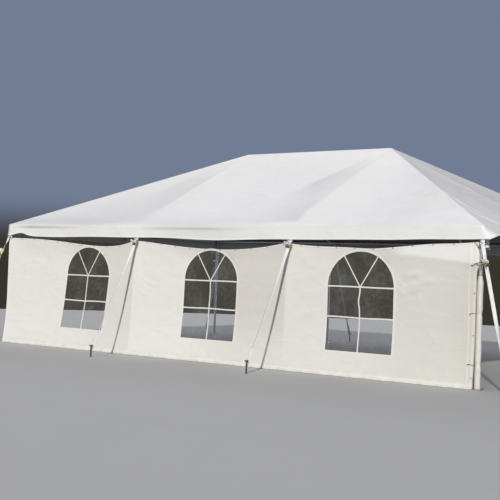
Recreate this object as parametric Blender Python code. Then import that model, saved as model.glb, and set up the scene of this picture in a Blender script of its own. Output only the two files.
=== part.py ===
"""A hip-roofed frame tent, three bays long and two wide, with one windowed wall.

Metres, +Z up. The ground is z = 0, the ridge runs along X, the walled front faces -Y, and the
origin is on the ground under the middle of the tent.
"""

import math

import bmesh
import bpy
from mathutils import Matrix, Vector

# Frame
BAY_WIDTH = 3.048  # leg spacing along every side
EAVE_HEIGHT = 2.120  # axis of the eave tubes
ROOF_RISE = 1.493  # from the eave axis to the ridge axis
TUBE_RADIUS = 0.0254
SLEEVE_RADIUS = 0.0300  # the fittings' sockets
SLEEVE_LENGTH = 0.150
HUB_RADIUS = 0.0335  # the ball that each fitting's sockets meet in
SOCKET_ROOT = 0.3  # share of the ball's radius at which a socket starts
PLATE_WIDTH = 0.150
PLATE_THICKNESS = 0.008

# Canopy and its valance
CLOTH = 0.003  # thickness of the canopy, valance and wall
BAY_SAG = 0.038  # how far the canopy hangs between two rafters
VALANCE_STANDOFF = 0.040  # from the eave axis to the valance's inner face
VALANCE_DROP = 0.206  # from the crease at the eave
RIGHT_KICK = 0.090  # how far the right end's valance is blown out at its foot

# Front wall
WALL_TIES = (0.010, 0.055, 0.050, 0.004)  # below the valance's foot, where each leg ties the head
WALL_SAGS = (0.115, 0.120, 0.055)  # how far the head hangs in each bay
WALL_LEANS = (2.6, 1.5, 0.75)  # above 1, the lowest point is nearer to the bay's right leg
WALL_LEFT = 0.030  # past the left corner leg's axis
WALL_FLARE = 0.075  # how far the foot stands out
FLARE_HEIGHT = 0.900

COVER_RADIUS = 0.045  # the cloth sleeve round the right front corner leg
COVER_TOP = 1.480

# Windows in the front wall
WINDOW_WIDTH = 1.022
WINDOW_HEAD = 0.020  # from the lowest point of the wall's head down to the arches
ARCH_RISE = 0.472
WINDOW_JAMB = 0.916  # the straight side, from the arch's foot to the sill
WINDOW_PITCH = 2.684
WINDOW_SHIFT = 0.115  # the middle window's centre, from the tent's middle
WINDOW_LEANS = (0.110, 0.020, -0.010)  # how far each window leans to the left for a metre down
PANE = 0.002
PANE_LAP = 0.015  # how far the pane reaches behind the wall

# Guy lines
STRAP_WIDTH = 0.050
STRAP = 0.003
TAB_SHIFT = 0.100  # from a side leg's axis to its tab
RING_DROP = 0.030  # from the valance's lower edge to the ring
RING_OUT = 0.062  # from the eave axis to the ring
CORNER_RING_ASIDE = 0.010  # from a corner leg's axis to its ring, along the ridge
SIDE_RATCHET = 0.020  # from the ring to the ratchet, along the strap
CORNER_RATCHET = 0.225
RATCHET_LENGTH = 0.105
RATCHET_WIDTH = 0.062
RATCHET_HEIGHT = 0.034
SIDE_STAKE_OUT = 0.930
CORNER_STAKE_OUT = 0.489
CORNER_STAKE_ASIDE = 0.614
STAKE_RADIUS = 0.0125
STAKE_HEIGHT = 0.190
STAKE_HEAD_RADIUS = 0.030
STAKE_HEAD = 0.018
STRAP_FOOT = 0.110  # height at which the strap meets the stake

GAP = 0.0003  # between neighbouring pieces
SIDES = 16  # of every round piece
CANOPY_ROWS = 6
BAY_COLUMNS = 6
HIP_COLUMNS = 4
WALL_COLUMNS = 8  # in each bay
WALL_ROWS = 6
FOOT_CROWDING = 1.6  # above 1, the wall's rows crowd towards its curved foot

SIDE_LEG = BAY_WIDTH / 2  # from the middle of a long side to the legs next to it
HALF_LENGTH = SIDE_LEG + BAY_WIDTH
HALF_WIDTH = BAY_WIDTH
RIDGE_HALF = HALF_LENGTH - HALF_WIDTH  # hips run at 45 degrees in plan
PITCH = math.atan2(ROOF_RISE, HALF_WIDTH)
SKIN_LIFT = (HUB_RADIUS + GAP) / math.cos(PITCH)  # from the frame's axes up to the canopy
SKIN_DEPTH = CLOTH / math.cos(PITCH)
BRIM = VALANCE_STANDOFF + CLOTH  # from the eave axis to the canopy's edge
CREASE_HEIGHT = EAVE_HEIGHT + SKIN_LIFT + SKIN_DEPTH - BRIM * math.tan(PITCH)
VALANCE_FOOT = CREASE_HEIGHT - VALANCE_DROP
WALL_HEADS = [VALANCE_FOOT - drop for drop in WALL_TIES]
MITRE = GAP * math.sqrt(0.5)  # half a gap, measured along a side of a mitred corner


def clear_scene():
    for thing in list(bpy.data.objects):
        bpy.data.objects.remove(thing, do_unlink=True)


def material(name, colour, roughness, metallic=0.0):
    finish = bpy.data.materials.new(name)
    finish.use_nodes = True
    shader = finish.node_tree.nodes["Principled BSDF"]
    shader.inputs["Base Color"].default_value = (*colour, 1.0)
    shader.inputs["Roughness"].default_value = roughness
    shader.inputs["Metallic"].default_value = metallic
    return finish


def place(name, shape, finish):
    """Put a bmesh into the scene as one named object."""
    mesh = bpy.data.meshes.new(name)
    bmesh.ops.recalc_face_normals(shape, faces=shape.faces)
    shape.to_mesh(mesh)
    shape.free()
    mesh.materials.append(finish)
    thing = bpy.data.objects.new(name, mesh)
    bpy.context.scene.collection.objects.link(thing)
    return thing


def smooth(thing, angle=40.0):
    thing.data.shade_smooth()
    thing.data.set_sharp_from_angle(angle=math.radians(angle))


def rod(start, end, radius):
    """A round bar from one point to another."""
    shape = bmesh.new()
    along = end - start
    turn = along.to_track_quat("Z", "Y").to_matrix().to_4x4()
    middle = Matrix.Translation((start + end) / 2)
    bmesh.ops.create_cone(
        shape, cap_ends=True, segments=SIDES, radius1=radius, radius2=radius,
        depth=along.length, matrix=middle @ turn,
    )
    return shape


def ball(centre, radius):
    shape = bmesh.new()
    bmesh.ops.create_uvsphere(
        shape, u_segments=SIDES, v_segments=SIDES // 2, radius=radius,
        matrix=Matrix.Translation(centre),
    )
    return shape


def bar(start, end, across, width, depth):
    """A flat bar whose width lies along the level direction `across`."""
    along = (end - start).normalized()
    face = along.cross(across).normalized()
    side = face.cross(along)
    shape = bmesh.new()
    turn = Matrix((side, face, along)).transposed().to_4x4()
    stretch = Matrix.Diagonal((width, depth, (end - start).length, 1.0))
    bmesh.ops.create_cube(
        shape, size=1.0, matrix=Matrix.Translation((start + end) / 2) @ turn @ stretch
    )
    return shape


def combine(name, shapes, finish, operation="UNION"):
    """One solid from several that overlap, or the first one cut by the rest."""
    thing = place(name, shapes[0], finish)
    tools = bpy.data.collections.new(name + "_tools")
    for number, shape in enumerate(shapes[1:]):
        tools.objects.link(place(f"{name}_tool_{number}", shape, finish))
    step = thing.modifiers.new("combine", "BOOLEAN")
    step.operation = operation
    step.solver = "EXACT"
    step.operand_type = "COLLECTION"
    step.collection = tools
    bpy.context.view_layer.update()
    evaluated = thing.evaluated_get(bpy.context.evaluated_depsgraph_get())
    solid = bpy.data.meshes.new_from_object(evaluated)
    thing.modifiers.clear()
    thing.data = solid
    for tool in list(tools.objects):
        bpy.data.objects.remove(tool, do_unlink=True)
    bpy.data.collections.remove(tools)
    return thing


def corner(sx, sy):
    return Vector((sx * HALF_LENGTH, sy * HALF_WIDTH, EAVE_HEIGHT))


def side_joint(sx, sy):
    return Vector((sx * SIDE_LEG, sy * HALF_WIDTH, EAVE_HEIGHT))


def end_joint(sx):
    return Vector((sx * HALF_LENGTH, 0.0, EAVE_HEIGHT))


def crown(sx):
    return Vector((sx * RIDGE_HALF, 0.0, EAVE_HEIGHT + ROOF_RISE))


def below(joint):
    return Vector((joint.x, joint.y, 0.0))


def side_name(sy):
    return "front" if sy < 0 else "back"


def end_name(sx):
    return "left" if sx < 0 else "right"


def sockets(joint, targets, through=None):
    """A fitting: a ball with a socket towards each target, and one right through along a run."""
    shapes = [ball(joint, HUB_RADIUS)]
    for target in targets:
        along = (target - joint).normalized()
        root = joint + along * HUB_RADIUS * SOCKET_ROOT
        shapes.append(rod(root, joint + along * SLEEVE_LENGTH, SLEEVE_RADIUS))
    if through:
        reach = (through - joint).normalized() * SLEEVE_LENGTH
        shapes.append(rod(joint - reach, joint + reach, SLEEVE_RADIUS))
    return shapes


def tube(name, start, end, finish):
    """A frame tube that ends just short of the sockets at its two joints."""
    inset = (end - start).normalized() * (SLEEVE_LENGTH + GAP)
    smooth(place(name, rod(start + inset, end - inset, TUBE_RADIUS), finish))


def leg(name, joint, finish):
    """A leg tube on a square base plate."""
    plate = bmesh.new()
    size = (PLATE_WIDTH, PLATE_WIDTH, PLATE_THICKNESS, 1.0)
    centre = Vector((joint.x, joint.y, PLATE_THICKNESS / 2))
    bmesh.ops.create_cube(
        plate, size=1.0, matrix=Matrix.Translation(centre) @ Matrix.Diagonal(size)
    )
    foot = Vector((joint.x, joint.y, PLATE_THICKNESS / 2))
    head = joint - Vector((0.0, 0.0, SLEEVE_LENGTH + GAP))
    smooth(combine(name, [plate, rod(foot, head, TUBE_RADIUS)], finish))


def legs(finish):
    for sx in (-1, 1):
        leg(f"leg_{end_name(sx)}_end", end_joint(sx), finish)
        for sy in (-1, 1):
            leg(f"leg_{side_name(sy)}_{end_name(sx)}_corner", corner(sx, sy), finish)
            leg(f"leg_{side_name(sy)}_{end_name(sx)}_side", side_joint(sx, sy), finish)


def eaves(finish):
    """An eave run for each side, with a tee fitting over each leg between its corners."""
    for sy in (-1, 1):
        run = corner(1, sy) - corner(-1, sy)
        inset = run.normalized() * (SLEEVE_LENGTH + GAP)
        shapes = [rod(corner(-1, sy) + inset, corner(1, sy) - inset, TUBE_RADIUS)]
        for sx in (-1, 1):
            joint = side_joint(sx, sy)
            shapes += sockets(joint, (below(joint), crown(sx)), corner(sx, sy))
        smooth(combine(f"eave_{side_name(sy)}", shapes, finish))
    for sx in (-1, 1):
        run = corner(sx, 1) - corner(sx, -1)
        inset = run.normalized() * (SLEEVE_LENGTH + GAP)
        shapes = [rod(corner(sx, -1) + inset, corner(sx, 1) - inset, TUBE_RADIUS)]
        joint = end_joint(sx)
        shapes += sockets(joint, (below(joint), crown(sx)), corner(sx, 1))
        smooth(combine(f"eave_{end_name(sx)}", shapes, finish))


def corner_fittings(finish):
    for sx in (-1, 1):
        for sy in (-1, 1):
            joint = corner(sx, sy)
            targets = (corner(-sx, sy), corner(sx, -sy), below(joint), crown(sx))
            name = f"corner_fitting_{side_name(sy)}_{end_name(sx)}"
            smooth(combine(name, sockets(joint, targets), finish))


def ridge(finish):
    """The ridge beam with a crown fitting at each end."""
    inset = Vector((SLEEVE_LENGTH / 2, 0.0, 0.0))
    shapes = [rod(crown(-1) + inset, crown(1) - inset, TUBE_RADIUS)]
    for sx in (-1, 1):
        targets = [crown(-sx), end_joint(sx)]
        for sy in (-1, 1):
            targets += [side_joint(sx, sy), corner(sx, sy)]
        shapes += sockets(crown(sx), targets)
    smooth(combine("ridge_beam", shapes, finish))


def rafters(finish):
    for sx in (-1, 1):
        tube(f"end_rafter_{end_name(sx)}", end_joint(sx), crown(sx), finish)
        for sy in (-1, 1):
            place_name = f"{side_name(sy)}_{end_name(sx)}"
            tube(f"hip_rafter_{place_name}", corner(sx, sy), crown(sx), finish)
            tube(f"side_rafter_{place_name}", side_joint(sx, sy), crown(sx), finish)


def shell(grid):
    """A closed sheet from rows of (lower point, upper point) pairs, with its four edges."""
    shape = bmesh.new()
    low = [[shape.verts.new(pair[0]) for pair in row] for row in grid]
    high = [[shape.verts.new(pair[1]) for pair in row] for row in grid]
    rows = len(grid) - 1
    columns = len(grid[0]) - 1
    for i in range(rows):
        for j in range(columns):
            for layer in (low, high):
                shape.faces.new(
                    (layer[i][j], layer[i][j + 1], layer[i + 1][j + 1], layer[i + 1][j])
                )
    for i in range(rows):
        for j in (0, columns):
            shape.faces.new((low[i][j], low[i + 1][j], high[i + 1][j], high[i][j]))
    for j in range(columns):
        for i in (0, rows):
            shape.faces.new((low[i][j], low[i][j + 1], high[i][j + 1], high[i][j]))
    bmesh.ops.remove_doubles(shape, verts=shape.verts, dist=GAP / 3)
    bmesh.ops.dissolve_degenerate(shape, edges=shape.edges, dist=GAP / 30)
    return shape


def spread(start, end, count):
    """Evenly spaced values from start to end, as (value, share) pairs."""
    return [(start + (end - start) * n / count, n / count) for n in range(count + 1)]


def canopy_row(out, reach, climb):
    """One level row of a long roof panel.

    It runs from hip to hip at the distance `out` from the ridge, as (x, sag) pairs.
    """
    rafter = min(RIDGE_HALF, reach)
    rows = []
    for x, share in spread(-reach, -rafter, HIP_COLUMNS)[:-1]:
        rows.append((x, 16 * share * (1 - share) * climb * (1 - climb) ** 2))
    for x, share in spread(-rafter, rafter, BAY_COLUMNS):
        rows.append((x, 16 * share * (1 - share) * climb * (1 - climb)))
    for x, share in spread(rafter, reach, HIP_COLUMNS)[1:]:
        rows.append((x, 16 * share * (1 - share) * climb * (1 - climb) ** 2))
    return rows


def end_row(reach, climb):
    """One level row of an end panel, from hip to hip, as (y, sag) pairs."""
    rows = []
    for y, share in spread(-reach, 0.0, HIP_COLUMNS)[:-1]:
        rows.append((y, 16 * share * (1 - share) * climb * (1 - climb) ** 2))
    for y, share in spread(0.0, reach, HIP_COLUMNS):
        rows.append((y, 16 * share * (1 - share) * climb * (1 - climb) ** 2))
    return rows


def skin_height(out):
    """Underside of the taut canopy at the plan distance `out` from the ridge or its end."""
    return EAVE_HEIGHT + (HALF_WIDTH - out) * math.tan(PITCH) + SKIN_LIFT


def canopy(finish):
    """Four sagging roof panels, mitred where they meet along the hips and the ridge."""
    for sy in (-1, 1):
        grid = []
        for out, climb in spread(HALF_WIDTH + BRIM, GAP / 2, CANOPY_ROWS):
            height = skin_height(out)
            row = []
            for x, sag in canopy_row(out, RIDGE_HALF + out - MITRE, climb):
                z = height - BAY_SAG * sag
                row.append(((x, sy * out, z), (x, sy * out, z + SKIN_DEPTH)))
            grid.append(row)
        smooth(place(f"roof_{side_name(sy)}", shell(grid), finish))
    for sx in (-1, 1):
        grid = []
        for out, climb in spread(HALF_WIDTH + BRIM, MITRE, CANOPY_ROWS):
            height = skin_height(out)
            row = []
            for y, sag in end_row(out - MITRE, climb):
                x = sx * (RIDGE_HALF + out)
                z = height - BAY_SAG * sag
                row.append(((x, y, z), (x, y, z + SKIN_DEPTH)))
            grid.append(row)
        smooth(place(f"roof_{end_name(sx)}", shell(grid), finish))


def valance_foot(kick, next_kick):
    """Height of a valance's foot where it and the strip round its corner are blown out."""
    return CREASE_HEIGHT - math.sqrt(VALANCE_DROP**2 - kick**2 - next_kick**2)


def valance(name, half_run, half_across, turn, kicks, finish):
    """A strip that hangs from the canopy's edge along one side.

    `kicks` are how far the strip before it, the strip itself and the one after it are blown out.
    """
    before, kick, after = kicks
    grid = []
    for stand in (VALANCE_STANDOFF, VALANCE_STANDOFF + CLOTH):
        top = skin_height(HALF_WIDTH + stand) - GAP
        reach = half_run + stand - MITRE
        ends = []
        for sign, corner_kick in ((-1, before), (1, after)):
            foot = valance_foot(kick, corner_kick)
            low = Vector((sign * (reach + corner_kick), -(half_across + stand + kick), foot))
            high = Vector((sign * reach, -(half_across + stand), top))
            ends.append((turn @ low, turn @ high))
        grid.append(ends)
    place(name, shell(grid), finish)


def valances(finish):
    quarter = Matrix.Rotation(math.pi / 2, 3, "Z")
    turn = Matrix.Identity(3)
    strips = (
        ("valance_front", HALF_LENGTH, HALF_WIDTH, (0.0, 0.0, RIGHT_KICK)),
        ("valance_right", HALF_WIDTH, HALF_LENGTH, (0.0, RIGHT_KICK, 0.0)),
        ("valance_back", HALF_LENGTH, HALF_WIDTH, (RIGHT_KICK, 0.0, 0.0)),
        ("valance_left", HALF_WIDTH, HALF_LENGTH, (0.0, 0.0, 0.0)),
    )
    for name, half_run, half_across, kicks in strips:
        valance(name, half_run, half_across, turn, kicks, finish)
        turn = quarter @ turn


def wall_out(z):
    """How far the wall's inner face stands in front of the legs' axes at a height."""
    curl = max(0.0, 1 - z / FLARE_HEIGHT)
    return TUBE_RADIUS + GAP + WALL_FLARE * curl * curl


def wall_head(x):
    """Height of the wall's head, which hangs between ties at the legs."""
    bay = min(2, max(0, int((x + HALF_LENGTH) / BAY_WIDTH)))
    share = min(1.0, max(0.0, (x + HALF_LENGTH) / BAY_WIDTH - bay))
    taut = WALL_HEADS[bay] + (WALL_HEADS[bay + 1] - WALL_HEADS[bay]) * share
    hang = share ** WALL_LEANS[bay]
    return taut - WALL_SAGS[bay] * 4 * hang * (1 - hang)


def wall_sheet(lift, depth):
    """The wall as a flared sheet; `lift` sets it in front of the legs, `depth` is its thickness."""
    left = -HALF_LENGTH - WALL_LEFT
    right = HALF_LENGTH - COVER_RADIUS - GAP
    stops = [x for x, _ in spread(-HALF_LENGTH, HALF_LENGTH, 3 * WALL_COLUMNS)][1:-1]
    stops = [left] + stops + [right]
    grid = []
    for _, share in spread(0.0, 1.0, WALL_ROWS):
        rise = share ** FOOT_CROWDING
        row = []
        for x in stops:
            z = wall_head(x) * rise
            out = HALF_WIDTH + wall_out(z) + lift
            row.append(((x, -out, z), (x, -(out + depth), z)))
        grid.append(row)
    return shell(grid)


def arch(x, lean, lap, front, back):
    """A prism with an arched top, from the sill to the top of a window that leans sideways."""
    lowest = min(wall_head(step) for step, _ in spread(-HALF_LENGTH, HALF_LENGTH, 99))
    spring = lowest - WINDOW_HEAD - ARCH_RISE
    half = WINDOW_WIDTH / 2 + lap
    sill = spring - WINDOW_JAMB - lap
    outline = [(x - half, sill), (x + half, sill)]
    for n in range(SIDES + 1):
        turn = math.pi * n / SIDES
        across = half * math.cos(turn)
        outline.append((x + across, spring + (ARCH_RISE + lap) * math.sin(turn)))
    shape = bmesh.new()
    slanted = [(u + lean * (v - spring), front, v) for u, v in outline]
    base = shape.faces.new([shape.verts.new(point) for point in slanted])
    made = bmesh.ops.extrude_face_region(shape, geom=[base])
    moved = [item for item in made["geom"] if isinstance(item, bmesh.types.BMVert)]
    bmesh.ops.translate(shape, verts=moved, vec=(0.0, back - front, 0.0))
    bmesh.ops.recalc_face_normals(shape, faces=shape.faces)
    return shape


def window_places():
    """Each window's middle and its lean."""
    return [(WINDOW_SHIFT + n * WINDOW_PITCH, WINDOW_LEANS[n + 1]) for n in (-1, 0, 1)]


def front_wall(cloth, clear):
    front = -HALF_WIDTH - 2 * (TUBE_RADIUS + WALL_FLARE)
    back = -HALF_WIDTH + TUBE_RADIUS
    cutters = [arch(x, lean, 0.0, front, back) for x, lean in window_places()]
    smooth(combine("front_wall", [wall_sheet(0.0, CLOTH)] + cutters, cloth, "DIFFERENCE"))
    names = ("window_pane_left", "window_pane_middle", "window_pane_right")
    for name, (x, lean) in zip(names, window_places()):
        sheet = wall_sheet(-GAP - PANE, PANE)
        cutter = arch(x, lean, PANE_LAP, front, back)
        smooth(combine(name, [sheet, cutter], clear, "INTERSECT"))


def leg_cover(finish):
    joint = corner(1, -1)
    low = Vector((joint.x, joint.y, PLATE_THICKNESS + GAP))
    high = Vector((joint.x, joint.y, COVER_TOP))
    beyond = Vector((0.0, 0.0, COVER_RADIUS))
    sleeve = [rod(low, high, COVER_RADIUS), rod(low - beyond, high + beyond, TUBE_RADIUS + GAP)]
    smooth(combine("leg_cover_front_right", sleeve, finish, "DIFFERENCE"))


def guy(name, tab_x, ring_x, seat, stake, ratchet_start, finish):
    """A guy line: a tab down from the eave, a ratchet, a strap and the stake that it holds.

    `seat` is the distance from the eave axis to what the tab lies against.
    """
    side = math.copysign(1.0, stake.y)
    tab_y = side * (HALF_WIDTH + seat + GAP + STRAP / 2)
    tab_top = Vector((tab_x, tab_y, EAVE_HEIGHT + SLEEVE_RADIUS / 3))
    tab_foot = Vector((ring_x, tab_y, VALANCE_FOOT - STRAP_WIDTH / 4))
    ring = Vector((ring_x, side * (HALF_WIDTH + RING_OUT), VALANCE_FOOT - RING_DROP))
    strap_end = Vector((stake.x, stake.y, STRAP_FOOT))
    along = (strap_end - ring).normalized()
    across = Vector((0.0, 0.0, 1.0)).cross(along)
    level = Vector((1.0, 0.0, 0.0))
    ratchet = ring + along * ratchet_start
    shapes = [
        bar(ring, strap_end, across, STRAP_WIDTH, STRAP),
        bar(tab_top, tab_foot, level, STRAP_WIDTH, STRAP),
        bar(tab_foot, ring, level, STRAP_WIDTH * 0.9, STRAP * 0.9),
        bar(ratchet, ratchet + along * RATCHET_LENGTH, across, RATCHET_WIDTH, RATCHET_HEIGHT),
        rod(stake, stake + Vector((0.0, 0.0, STAKE_HEIGHT)), STAKE_RADIUS),
        rod(
            stake + Vector((0.0, 0.0, STAKE_HEIGHT - STAKE_HEAD)),
            stake + Vector((0.0, 0.0, STAKE_HEIGHT)),
            STAKE_HEAD_RADIUS,
        ),
    ]
    smooth(combine(name, shapes, finish))


def guys(finish):
    for sx in (-1, 1):
        for sy in (-1, 1):
            place_name = f"{side_name(sy)}_{end_name(sx)}"
            far = sy * (HALF_WIDTH + SIDE_STAKE_OUT)
            stake = Vector((sx * SIDE_LEG, far, 0.0))
            tab_x = sx * SIDE_LEG + TAB_SHIFT
            name = f"guy_{place_name}_side"
            guy(name, tab_x, tab_x, SLEEVE_RADIUS, stake, SIDE_RATCHET, finish)
            far = sy * (HALF_WIDTH + CORNER_STAKE_OUT)
            stake = Vector((sx * (HALF_LENGTH + CORNER_STAKE_ASIDE), far, 0.0))
            name = f"guy_{place_name}_corner"
            leg_x, ring_x = sx * HALF_LENGTH, sx * (HALF_LENGTH + CORNER_RING_ASIDE)
            guy(name, leg_x, ring_x, HUB_RADIUS, stake, CORNER_RATCHET, finish)


def main():
    clear_scene()
    metal = material("frame aluminium", (0.80, 0.80, 0.80), 0.38, 1.0)
    vinyl = material("canopy vinyl", (0.86, 0.86, 0.88), 0.45)
    wall = material("wall vinyl", (0.84, 0.82, 0.79), 0.50)
    clear = material("clear vinyl", (0.55, 0.58, 0.60), 0.10)
    webbing = material("guy webbing", (0.82, 0.82, 0.80), 0.75)
    legs(metal)
    eaves(metal)
    corner_fittings(metal)
    ridge(metal)
    rafters(metal)
    canopy(vinyl)
    valances(vinyl)
    front_wall(wall, clear)
    leg_cover(wall)
    guys(webbing)


main()
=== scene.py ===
import math

import bmesh
import bpy
import numpy as np
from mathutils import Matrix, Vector


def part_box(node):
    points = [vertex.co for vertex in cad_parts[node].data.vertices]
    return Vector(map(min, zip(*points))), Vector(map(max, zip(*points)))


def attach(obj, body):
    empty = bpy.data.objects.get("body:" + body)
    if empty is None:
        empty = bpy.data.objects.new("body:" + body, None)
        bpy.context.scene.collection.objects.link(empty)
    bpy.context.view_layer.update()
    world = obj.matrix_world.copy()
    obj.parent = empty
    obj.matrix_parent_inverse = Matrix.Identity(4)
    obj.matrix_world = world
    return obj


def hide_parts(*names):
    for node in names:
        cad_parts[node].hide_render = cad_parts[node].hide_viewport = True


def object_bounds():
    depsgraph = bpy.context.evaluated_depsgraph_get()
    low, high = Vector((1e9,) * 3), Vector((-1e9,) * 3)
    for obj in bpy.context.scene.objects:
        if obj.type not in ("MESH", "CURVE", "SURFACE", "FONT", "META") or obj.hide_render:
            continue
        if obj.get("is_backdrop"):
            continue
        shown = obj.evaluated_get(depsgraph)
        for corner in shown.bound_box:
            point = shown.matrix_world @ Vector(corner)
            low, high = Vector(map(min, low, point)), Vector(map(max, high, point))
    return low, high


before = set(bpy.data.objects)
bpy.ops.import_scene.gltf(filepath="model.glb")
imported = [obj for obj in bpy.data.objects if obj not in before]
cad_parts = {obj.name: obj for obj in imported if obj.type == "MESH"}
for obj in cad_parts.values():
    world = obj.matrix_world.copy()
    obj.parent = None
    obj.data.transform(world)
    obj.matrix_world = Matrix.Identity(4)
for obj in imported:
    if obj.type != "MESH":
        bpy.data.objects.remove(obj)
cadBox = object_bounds()
print("frame loaded:", len(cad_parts), "nodes")


# Places read from the frame

def lowCorner(node):
    return np.array(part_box(node)[0])


def highCorner(node):
    return np.array(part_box(node)[1])


def middleOf(node):
    return (lowCorner(node) + highCorner(node)) / 2


frameSizes = {
    "tube": 0.0254,      # radius of legs, eaves, rafters and ridge
    "sleeve": 0.0300,    # radius of the sockets
    "socket": 0.1503,    # from a joint to the end of its socket
    "hub": 0.0335,       # radius of the corners' hubs
    "cloth": 0.003,
    "upright": 1.11,     # the sloping cloth's upright thickness over its own
}
legX, legY = middleOf("leg_back_right_corner")[:2]
sideLegX = middleOf("leg_back_right_side")[0]
bay = legX - sideLegX
eaveZ = highCorner("leg_back_right_corner")[2] + frameSizes["socket"]
brimX, ridgeZ = highCorner("roof_front")[[0, 2]]
brimY = -lowCorner("roof_front")[1]
ridgeX = brimX - brimY  # the hips run at 45 degrees in plan
slopeFoot = lowCorner("roof_front")[2] + frameSizes["upright"] * frameSizes["cloth"]
slope = (ridgeZ - slopeFoot) / brimY
pitch = math.atan(slope)
valanceFoot = lowCorner("valance_left")[2]


# Mesh helpers

def patchFaces(rows, columns, start):
    # quads of a grid of points that are numbered along its rows
    row, column = np.mgrid[0:rows - 1, 0:columns - 1]
    first = (start + row * columns + column).ravel()
    return np.stack((first, first + 1, first + columns + 1, first + columns), axis=1)


def makePiece(name, surfaces, finish, solid=True, flip=False, angle=40, weld=2e-5):
    # Joins surfaces, each a grid of points with its grid of (u, v), and welds what meets.
    # A solid's faces are then turned outwards. A sheet's face the way that its grid runs.
    points = np.concatenate([grid.reshape(-1, 3) for grid, _ in surfaces])
    cut = np.concatenate([uv.reshape(-1, 2) for _, uv in surfaces])
    starts = np.cumsum([0] + [grid.shape[0] * grid.shape[1] for grid, _ in surfaces])
    faces = np.concatenate(
        [patchFaces(*grid.shape[:2], start) for (grid, _), start in zip(surfaces, starts)]
    )
    corners = np.ascontiguousarray(faces[:, ::-1] if flip else faces).ravel()
    mesh = bpy.data.meshes.new(name)
    mesh.vertices.add(len(points))
    mesh.vertices.foreach_set("co", points.astype(np.float32).ravel())
    mesh.loops.add(len(corners))
    mesh.loops.foreach_set("vertex_index", corners.astype(np.int32))
    mesh.polygons.add(len(faces))
    mesh.polygons.foreach_set("loop_start", np.arange(0, len(corners), 4, dtype=np.int32))
    mesh.update(calc_edges=True)
    mesh.uv_layers.new(name="cut")
    mesh.uv_layers["cut"].data.foreach_set("uv", cut[corners].astype(np.float32).ravel())
    shape = bmesh.new()
    shape.from_mesh(mesh)
    bmesh.ops.remove_doubles(shape, verts=shape.verts, dist=weld)
    if solid:
        bmesh.ops.recalc_face_normals(shape, faces=shape.faces)
    shape.to_mesh(mesh)
    shape.free()
    mesh.shade_smooth()
    if angle:
        mesh.set_sharp_from_angle(angle=math.radians(angle))
    mesh.materials.append(finish)
    piece = bpy.data.objects.new(name, mesh)
    bpy.context.scene.collection.objects.link(piece)
    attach(piece, "root")
    return piece


def thicken(piece, depth, inside=None):
    # gives a sheet its thickness, with its free edges closed, and its inner side a finish
    step = piece.modifiers.new("thickness", "SOLIDIFY")
    step.thickness = depth
    step.offset = -1.0
    step.use_even_offset = True
    step.use_quality_normals = True
    if inside:
        piece.data.materials.append(inside)
        step.material_offset = 1


def setPaintedShade(piece, shade):
    # how much painted shade darkens each point's cloth, 0 to 1, from a function of its (x, y,
    # z)
    points = np.empty(len(piece.data.vertices) * 3, np.float32)
    piece.data.vertices.foreach_get("co", points)
    x, y, z = points.reshape(-1, 3).T.astype(float)
    layer = piece.data.attributes.new("paintedShade", "FLOAT", "POINT")
    layer.data.foreach_set("value", np.clip(shade(x, y, z), 0, 1).astype(np.float32))


def unit(vectors):
    vectors = np.asarray(vectors, float)
    return vectors / np.linalg.norm(vectors, axis=-1, keepdims=True)


def ramp(values, start, end, first=0, last=1):
    # first before the start, last after the end, and 3t^2 - 2t^3 of the way between them
    share = np.clip((values - start) / (end - start), 0, 1)
    return first + (last - first) * share * share * (3 - 2 * share)


def bell(values, middle, reach):
    # exp(-d^2), d being the distance from the middle over the reach
    return np.exp(-(((values - middle) / reach) ** 2))


def joined(*parts):
    # numbers or arrays, spread to one shape, as the last axis of one array
    return np.stack(np.broadcast_arrays(*parts), axis=-1)


def carry(path, profile, aside, closed=False, capped=True):
    # Every point of the path carries the profile. Its first number lies along `aside`, squared
    # to the path, and its second along the path's direction crossed with that.
    path = np.asarray(path, float)
    if closed:
        along = unit(np.roll(path, -1, axis=0) - np.roll(path, 1, axis=0))
    else:
        along = unit(np.gradient(path, axis=0))
    across = np.broadcast_to(np.asarray(aside, float), path.shape)
    across = unit(across - along * (across * along).sum(axis=1, keepdims=True))
    out = np.cross(along, across)
    profile = np.broadcast_to(profile, (len(path),) + np.shape(profile)[-2:])
    grid = (
        path[:, None] + profile[..., :1] * across[:, None] + profile[..., 1:] * out[:, None]
    )
    if closed:
        path = np.concatenate((path, path[:1]))
        grid = np.concatenate((grid, grid[:1]))
    elif capped:
        ends = np.repeat(path[[0, -1], None], grid.shape[1], axis=1)
        grid = np.concatenate((ends[:1], grid, ends[1:]))
        path = np.concatenate((path[:1], path, path[-1:]))
    steps = np.linalg.norm(np.diff(path, axis=0, prepend=path[:1]), axis=1)
    rim = np.linalg.norm(np.diff(profile[0], axis=0, prepend=profile[0][:1]), axis=1)
    run, girth = np.meshgrid(np.cumsum(steps), np.cumsum(rim), indexing="ij")
    return grid, joined(girth, run)


def closedTurn(count):
    # evenly spaced angles round a circle, one in a row, without the last that meets the first
    return np.linspace(0, 2 * math.pi, count + 1)[:-1, None]


def roundProfile(radius, sides=12):
    # a circle whose first point is repeated to close it
    turn = np.linspace(0, 2 * math.pi, sides + 1)
    return radius * joined(np.cos(turn), np.sin(turn))


def flatProfile(width, depth, corner=0.35):
    # a rectangle with its corners cut by a share of its smaller half
    w, d = width / 2, depth / 2
    c = min(w, d) * corner
    right = [(w - c, -d), (w, c - d), (w, d - c), (w - c, d)]
    left = [(c - w, d), (-w, d - c), (-w, c - d), (c - w, -d)]
    return np.array(right + left + right[:1])


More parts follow.
